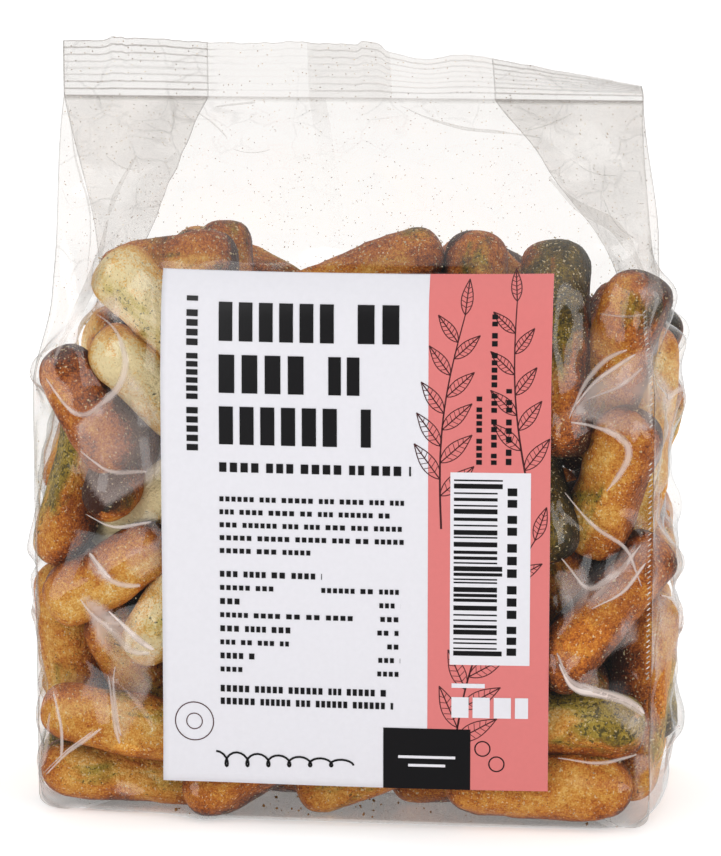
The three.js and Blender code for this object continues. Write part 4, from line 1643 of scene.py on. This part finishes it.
@dataclass
class Label:
    """The paper label and its generic print, laid over the front of the film."""

    centre: float = 3.0
    width: float = 77.4
    height: float = 103.0
    base: float = 9.2
    lift: float = 0.3
    thickness: float = 0.12
    columns: int = 60
    rows: int = 80

    def surface(self, a: Array, b: Array, lift: float) -> Array:
        """Points over the label.

        Args:
            a: Place across it in mm from its left edge.
            b: Place down it in mm from its top edge.
            lift: Height above the film in mm.

        Returns:
            The points.
        """
        x = self.centre - self.width / 2 + a
        z = self.base + self.height - b
        depth = FORM.panel_depth(FORM.front_bulge, x, z)
        above, below = (FORM.panel_depth(FORM.front_bulge, x, z + step) for step in (0.5, -0.5))
        slope = above - below
        curl = 0.7 * np.exp(-(a ** 2 + (self.height - b) ** 2) / 60)
        length = np.sqrt(1 + slope ** 2)
        return np.stack([x, -depth - (lift + curl) / length, z - (lift + curl) * slope / length], axis=-1)

    def sheet(self, name: str, paper: bpy.types.Material) -> bpy.types.Object:
        """Make the paper itself, with its thickness.

        Args:
            name: The piece's name.
            paper: Its finish.

        Returns:
            The piece.
        """
        a, b = np.meshgrid(np.linspace(0, self.width, self.columns),
                           self.height * np.linspace(1, 0, self.rows) ** 1.35)
        sheets = Sheets()
        sheets.add(self.surface(a, b, self.lift + self.thickness))
        sheets.add(self.surface(a, b, self.lift), flip=True)
        number = np.arange(a.size).reshape(a.shape)
        rim = np.concatenate([number[0], number[1:, -1], number[-1, -2::-1], number[-2:0:-1, 0]])
        after = np.roll(rim, -1)
        sheets.faces.append(np.stack([rim + a.size, after + a.size, after, rim], axis=-1))
        return sheets.piece(name, paper, LABEL_PAPER)


@dataclass(frozen=True)
class Ink:
    """One printed colour: its piece, its height over the paper and its finish."""

    name: str
    colour: str
    lift: float


FIELD_PINK = Ink("print_pink", "#dc7876", 0.04)
ENGRAVING_RED = Ink("print_engraving", "#4a1a1e", 0.06)
PANEL_WHITE = Ink("print_white", "#e2e1e7", 0.075)
TEXT_BLACK = Ink("print_black", "#100e12", 0.09)
KNOCKED_OUT = Ink("print_knockout", "#e2e1e7", 0.105)


@dataclass
class LabelPrint:
    """The print: fields, bars and leafy sprigs in place of words, in mm from the top left corner."""

    label: Label
    text_left: float = 11.8
    pink_left: float = 53.4
    sheets: dict[Ink, Sheets] = field(default_factory=dict)

    def _sheet(self, ink: Ink, a: Array, b: Array) -> None:
        """Lay one grid of points, given by place across and down the label.

        Args:
            ink: The ink.
            a: Places across, rows by columns.
            b: Places down, rows by columns.
        """
        lift = self.label.lift + self.label.thickness + ink.lift
        self.sheets.setdefault(ink, Sheets()).add(self.label.surface(a, b, lift), flip=True)

    def block(self, ink: Ink, left: float, top: float, width: float, height: float) -> None:
        """Print a plain rectangle.

        Args:
            ink: The ink.
            left: Its left edge.
            top: Its top edge.
            width: Its width.
            height: Its height.
        """
        a, b = np.meshgrid(np.linspace(left, left + width, 2 + int(width)),
                           np.linspace(top, top + height, 2 + int(height)))
        self._sheet(ink, a, b)

    def stroke(self, ink: Ink, path: Array, width: Array | float) -> None:
        """Print a line along a path.

        Args:
            ink: The ink.
            path: Points across and down.
            width: Its width, the same all along or one for each point.
        """
        along = np.gradient(path, axis=0)
        along /= np.maximum(np.linalg.norm(along, axis=1), 1e-6)[:, None]
        across = np.stack([-along[:, 1], along[:, 0]], axis=1) * (np.ones(len(path)) * width)[:, None] / 2
        both = np.stack([path - across, path + across])
        self._sheet(ink, both[..., 0], both[..., 1])

    def row(self, ink: Ink, left: float, middle: float, width: float, height: float,
            seed: int, letter: float = 0.0, upright: bool = False) -> None:
        """Print a row of word-long bars in place of a line of text.

        Args:
            ink: The ink.
            left: Where the row starts.
            middle: The row's middle line.
            width: Its length.
            height: The bars' height.
            seed: Which row it is.
            letter: Length of the blocks that a word is cut into, nought for whole bars.
            upright: Whether it runs up the label from its start, which is then its lower end.
        """
        random = np.random.default_rng(seed)
        place = 0.0
        while place < width:
            word = min(random.uniform(2.6, 7.5) * max(1.0, height / 1.6), width - place)
            pieces = max(1, round(word / letter)) if letter else 1
            for i in range(pieces):
                size = word / pieces * (0.68 if letter else 1)
                start = place + i * word / pieces
                if upright:
                    self.block(ink, middle - height / 2, left - start - size, height, size)
                else:
                    self.block(ink, left + start, middle - height / 2, size, height)
            place += word + max(0.8, 0.45 * height)

    def leaf(self, ink: Ink, root: Array, angle: float, length: float) -> None:
        """Print the outline, midrib and veins of one leaf.

        Args:
            ink: The ink.
            root: Where it grows from.
            angle: Its direction in degrees, nought to the right and 90 up.
            length: Its length.
        """
        turn = math.radians(angle)
        way = np.array([math.cos(turn), -math.sin(turn)])
        side = np.array([-way[1], way[0]])
        t = np.linspace(0, 1, 12)
        swell = np.sin(np.pi * t ** 0.8) * length * 0.17
        for sign in (-1, 1):
            self.stroke(ink, root + np.outer(t * length, way) + np.outer(sign * swell, side), 0.2)
            for place in np.arange(0.2, 0.85, 0.13):
                reach = math.sin(math.pi * (place + 0.06) ** 0.8) * length * 0.15
                start = root + way * place * length
                end = start + way * length * 0.07 + side * sign * reach
                self.stroke(ink, np.stack([start, (start + end) / 2, end]), 0.13)
        self.stroke(ink, root + np.outer(t * length * 0.96, way), 0.24)

    def sprig(self, ink: Ink, start: tuple[float, float], end: tuple[float, float], bow: float,
              leaves: int, length: float) -> None:
        """Print a bowed stem with leaves on both sides and one at its tip.

        Args:
            ink: The ink.
            start: The stem's foot.
            end: Its tip.
            bow: How far its middle swings to the left.
            leaves: Number of leaves along it.
            length: Length of the longest leaf.
        """
        foot, tip = np.array(start), np.array(end)
        t = np.linspace(0, 1, 40)
        way = (tip - foot) / np.linalg.norm(tip - foot)
        side = np.array([way[1], -way[0]])
        path = foot + np.outer(t, tip - foot) + np.outer(np.sin(np.pi * t) * bow, side)
        self.stroke(ink, path, 0.42 - 0.2 * t)
        angle = math.degrees(math.atan2(-way[1], way[0]))
        for i in range(leaves):
            share = 0.16 + 0.8 * i / leaves
            where = path[int(share * 39)]
            lean = 42 if i % 2 else -42
            self.leaf(ink, where, angle + lean, length * (1 - 0.35 * share))
        self.leaf(ink, path[-1], angle, length * 0.7)

    def ring(self, ink: Ink, centre: tuple[float, float], radius: float, width: float) -> None:
        """Print a circle's outline."""
        turn = np.linspace(0, 2 * np.pi, 41)
        spoke = np.stack([np.cos(turn), np.sin(turn)], axis=1)
        self.stroke(ink, np.array(centre) + radius * spoke, width)

    def lay_out(self) -> None:
        """Set all fields, bars and figures in their places."""
        self.block(FIELD_PINK, self.pink_left, 0.0, self.label.width - self.pink_left, self.label.height)
        self._bars()
        self._figures()
        self._code()

    def _bars(self) -> None:
        """Print the rows that stand for text."""
        for middle, length, seed in ((9.6, 37.4, 1), (19.9, 29.2, 2), (30.2, 31.2, 6)):
            self.row(TEXT_BLACK, self.text_left, middle, length, 7.6, seed, letter=4.3)
        self.row(TEXT_BLACK, self.text_left, 38.6, 38.4, 1.9, 4, letter=2.1)
        for i, length in enumerate((37.2, 34.4, 37.6, 37.2, 18.6)):
            self.row(TEXT_BLACK, self.text_left, 45.0 + 2.62 * i, length, 1.0, 10 + i, letter=1.25)
        table = ((20.6, 0), (11.2, 15.8), (4.6, 4.2), (27.4, 4.0),
                 (14.6, 4.6), (14.2, 2.6), (7.4, 4.4), (4.8, 4.6))
        for i, (left, right) in enumerate(table):
            middle = 60.2 + 2.78 * i
            tall = 1.2 if i % 2 == 0 else 1.0
            self.row(TEXT_BLACK, self.text_left, middle, left, tall, 20 + i, letter=1.3)
            self.row(TEXT_BLACK, 48.0 - right, middle, right, 1.0, 30 + i, letter=1.2)
        for i, length in enumerate((33.8, 35.0)):
            self.row(TEXT_BLACK, self.text_left, 83.6 + 2.6 * i, length, 1.35, 40 + i, letter=1.15)
        self.row(TEXT_BLACK, 35.4, 6.4, 31.0, 2.3, 50, letter=1.7, upright=True)
        for i, length in enumerate((14.0, 30.0, 15.5)):
            self.row(TEXT_BLACK, 37.0, 63.4 + 2.9 * i, length, 1.1, 52 + i, letter=1.5, upright=True)

    def _figures(self) -> None:
        """Print the sprigs, the ring, the flourish and the dark square with its bars."""
        self.sprig(ENGRAVING_RED, (58.0, 101.0), (74.5, 52.0), 3.5, 12, 10.0)
        self.sprig(ENGRAVING_RED, (56.0, 50.0), (60.5, 7.5), 2.0, 10, 9.5)
        self.sprig(ENGRAVING_RED, (73.5, 44.0), (70.5, 5.0), 1.5, 8, 8.5)
        for a, b in ((64.4, 94.5), (67.2, 97.6)):
            self.ring(TEXT_BLACK, (a, b), 1.5, 0.25)
        self.ring(ENGRAVING_RED, (6.4, 90.6), 3.9, 0.22)
        self.ring(ENGRAVING_RED, (6.4, 90.6), 1.6, 0.2)
        t = np.linspace(0, 1, 90)
        across = 10.8 + 27.0 * t + 1.1 * np.sin(40 * t)
        down = 98.2 - 1.6 * np.cos(40 * t) * (1 - 0.6 * t)
        wave = np.stack([across, down], axis=1)
        self.stroke(TEXT_BLACK, wave, 0.42)
        self.block(TEXT_BLACK, 44.6, 90.6, 17.4, 12.4)
        self.block(KNOCKED_OUT, 47.6, 96.2, 11.4, 0.55)
        self.block(KNOCKED_OUT, 49.6, 97.9, 7.4, 0.55)
        self.block(KNOCKED_OUT, 58.2, 81.2, 6.6, 0.9)
        for left, size in ((58.2, 3.4), (62.4, 3.4), (66.6, 3.4), (70.8, 2.6)):
            self.block(KNOCKED_OUT, left, 84.0, size, 4.2)

    def _code(self) -> None:
        """Print a generic stack of bars on a white panel."""
        self.block(PANEL_WHITE, 57.8, 38.6, 15.8, 38.8)
        random = np.random.default_rng(61)
        place = 40.0
        while place < 75.6:
            size = random.choice([0.33, 0.33, 0.66, 0.99])
            guard = place < 41.4 or 57.4 < place < 58.8 or place > 74.4
            self.block(TEXT_BLACK, 58.5, place, 9.6 if guard else 8.6, size)
            place += size + random.choice([0.33, 0.5, 0.75])
        self.row(TEXT_BLACK, 75.4, 70.0, 34.5, 1.9, 62, letter=2.4, upright=True)

    def build(self) -> list[bpy.types.Object]:
        """Make one piece for each ink.

        Returns:
            The pieces.
        """
        self.lay_out()
        return [sheets.piece(ink.name, CoatedPaper(ink.name, ink.colour).build(), LABEL_PAPER)
                for ink, sheets in self.sheets.items()]


@dataclass(frozen=True)
class Studio:
    """The pale floor, the soft lights and the camera."""

    azimuth: float = 7.0
    elevation: float = 10.0
    distance: float = 750.0
    mm_per_pixel: float = 0.206
    image_height: int = 856
    aim: tuple[float, float, float] = (0.2, 0.0, 76.13)
    floor_reach: float = 9.0
    floor_glow: float = 0.42
    softbox_away: float = 1.3
    softbox_aim: float = 0.07

    def floor(self) -> None:
        """Make the plain pale floor that the bag stands on."""
        mesh = bpy.data.meshes.new("studio_floor")
        reach = self.floor_reach
        corners = [(-reach, -reach, 0), (reach, -reach, 0), (reach, reach, 0), (-reach, reach, 0)]
        mesh.from_pydata(corners, [], [(0, 1, 2, 3)])
        floor = bpy.data.objects.new("studio_floor", mesh)
        floor.location.z = -0.0002
        bpy.context.scene.collection.objects.link(floor)
        material, node = new_material("backlit_opal_acrylic")
        board = node("BsdfPrincipled", {
            "Base Color": linear("#f6f5f4"), "Roughness": 0.9, "Emission Color": linear("#ffffff"),
            "Emission Strength": self.floor_glow})
        node("OutputMaterial", [board])
        mesh.materials.append(material)
        floor.visible_glossy = False

    def lights(self) -> None:
        """Light the bag with a sky that is bright above and behind it, and with two side softboxes."""
        world = bpy.data.worlds.new("studio_sky")
        world.use_nodes = True
        world.node_tree.nodes.clear()
        node = partial(add_node, world.node_tree)
        place = node("TexCoord").outputs["Generated"]
        split = node("SeparateXYZ", [place])
        above = node("MapRange", [split.outputs[2], 0.2, 0.6, 0.14, 1.0])
        behind = node("MapRange", [split.outputs[1], -0.05, 0.35, 0.0, 1.25])
        sky = node("Math", [above, behind], operation="MAXIMUM")
        light = node("Background", {"Strength": sky})
        node("OutputWorld", [light])
        bpy.context.scene.world = world
        self._softbox("left_softbox", -36, 16, (0.75, 1.2), 1.6)
        self._softbox("right_softbox", 50, 18, (0.6, 1.2), 1.8)

    @staticmethod
    def _bearing(azimuth: float, elevation: float) -> Vector:
        """Direction from the bag at an angle from its front, to the right, and one above the floor."""
        a, e = math.radians(azimuth), math.radians(elevation)
        return Vector((math.sin(a) * math.cos(e), -math.cos(a) * math.cos(e), math.sin(e)))

    def _softbox(self, name: str, azimuth: float, elevation: float, size: tuple[float, float],
                 radiance: float) -> None:
        """Hang one rectangular light that faces the bag.

        Args:
            name: Its name.
            azimuth: Its bearing in degrees, nought at the front and above nought to the right.
            elevation: Its angle above the floor in degrees.
            size: Its width and height in metres.
            radiance: How bright its face looks.
        """
        lamp = bpy.data.lights.new(name, "AREA")
        lamp.shape = "RECTANGLE"
        lamp.size, lamp.size_y = size
        lamp.energy = radiance * math.pi * size[0] * size[1]
        holder = bpy.data.objects.new(name, lamp)
        bpy.context.scene.collection.objects.link(holder)
        towards = self._bearing(azimuth, elevation)
        holder.location = towards * self.softbox_away + Vector((0, 0, self.softbox_aim))
        holder.rotation_mode = "QUATERNION"
        holder.rotation_quaternion = towards.to_track_quat("Z", "Y")

    def camera(self) -> None:
        """Set the camera at the photograph's angle and distance."""
        data = bpy.data.cameras.new("camera")
        camera = bpy.data.objects.new("camera", data)
        bpy.context.scene.collection.objects.link(camera)
        back = self._bearing(self.azimuth, self.elevation)
        centre = Vector(self.aim) + Vector(BAG_AXIS)
        camera.location = (centre + back * self.distance) * MM
        camera.rotation_mode = "QUATERNION"
        camera.rotation_quaternion = back.to_track_quat("Z", "Y")
        data.sensor_width = 36.0
        data.lens = data.sensor_width * self.distance / (self.image_height * self.mm_per_pixel)
        data.clip_start, data.clip_end = 0.05, 60
        bpy.context.scene.camera = camera


def main() -> None:
    """Build the bag, its contents, its label and the studio."""
    scene = bpy.context.scene
    scene.view_settings.view_transform = "Standard"
    scene.cycles.transparent_max_bounces = FILM_LAYERS_SEEN_THROUGH
    contents = Contents()
    contents.place()
    contents.build(BakedDough().build())
    bag = FilmBag()
    clear_film = ClearFilm().build()
    bag.build(contents, clear_film)
    bag.fin_seam(clear_film)
    bag.folded_strips(clear_film)
    bag.bottom_flaps(clear_film)
    # The press marks are pale with a painted highlight on their wrinkles.
    bag.press_marks(CrumbDust("pressed_film_painted_highlight", "#d9d2ca", 0.45).build())
    Crumbs().build(contents, bag)
    label = Label()
    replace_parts(label.sheet("label_sheet", CoatedPaper("white_coated_paper", "#e2e1e7").build()), "label")
    LabelPrint(label).build()
    studio = Studio()
    studio.floor()
    studio.lights()
    studio.camera()


if __name__ == "__main__":
    logging.basicConfig(level=logging.INFO)
    main()
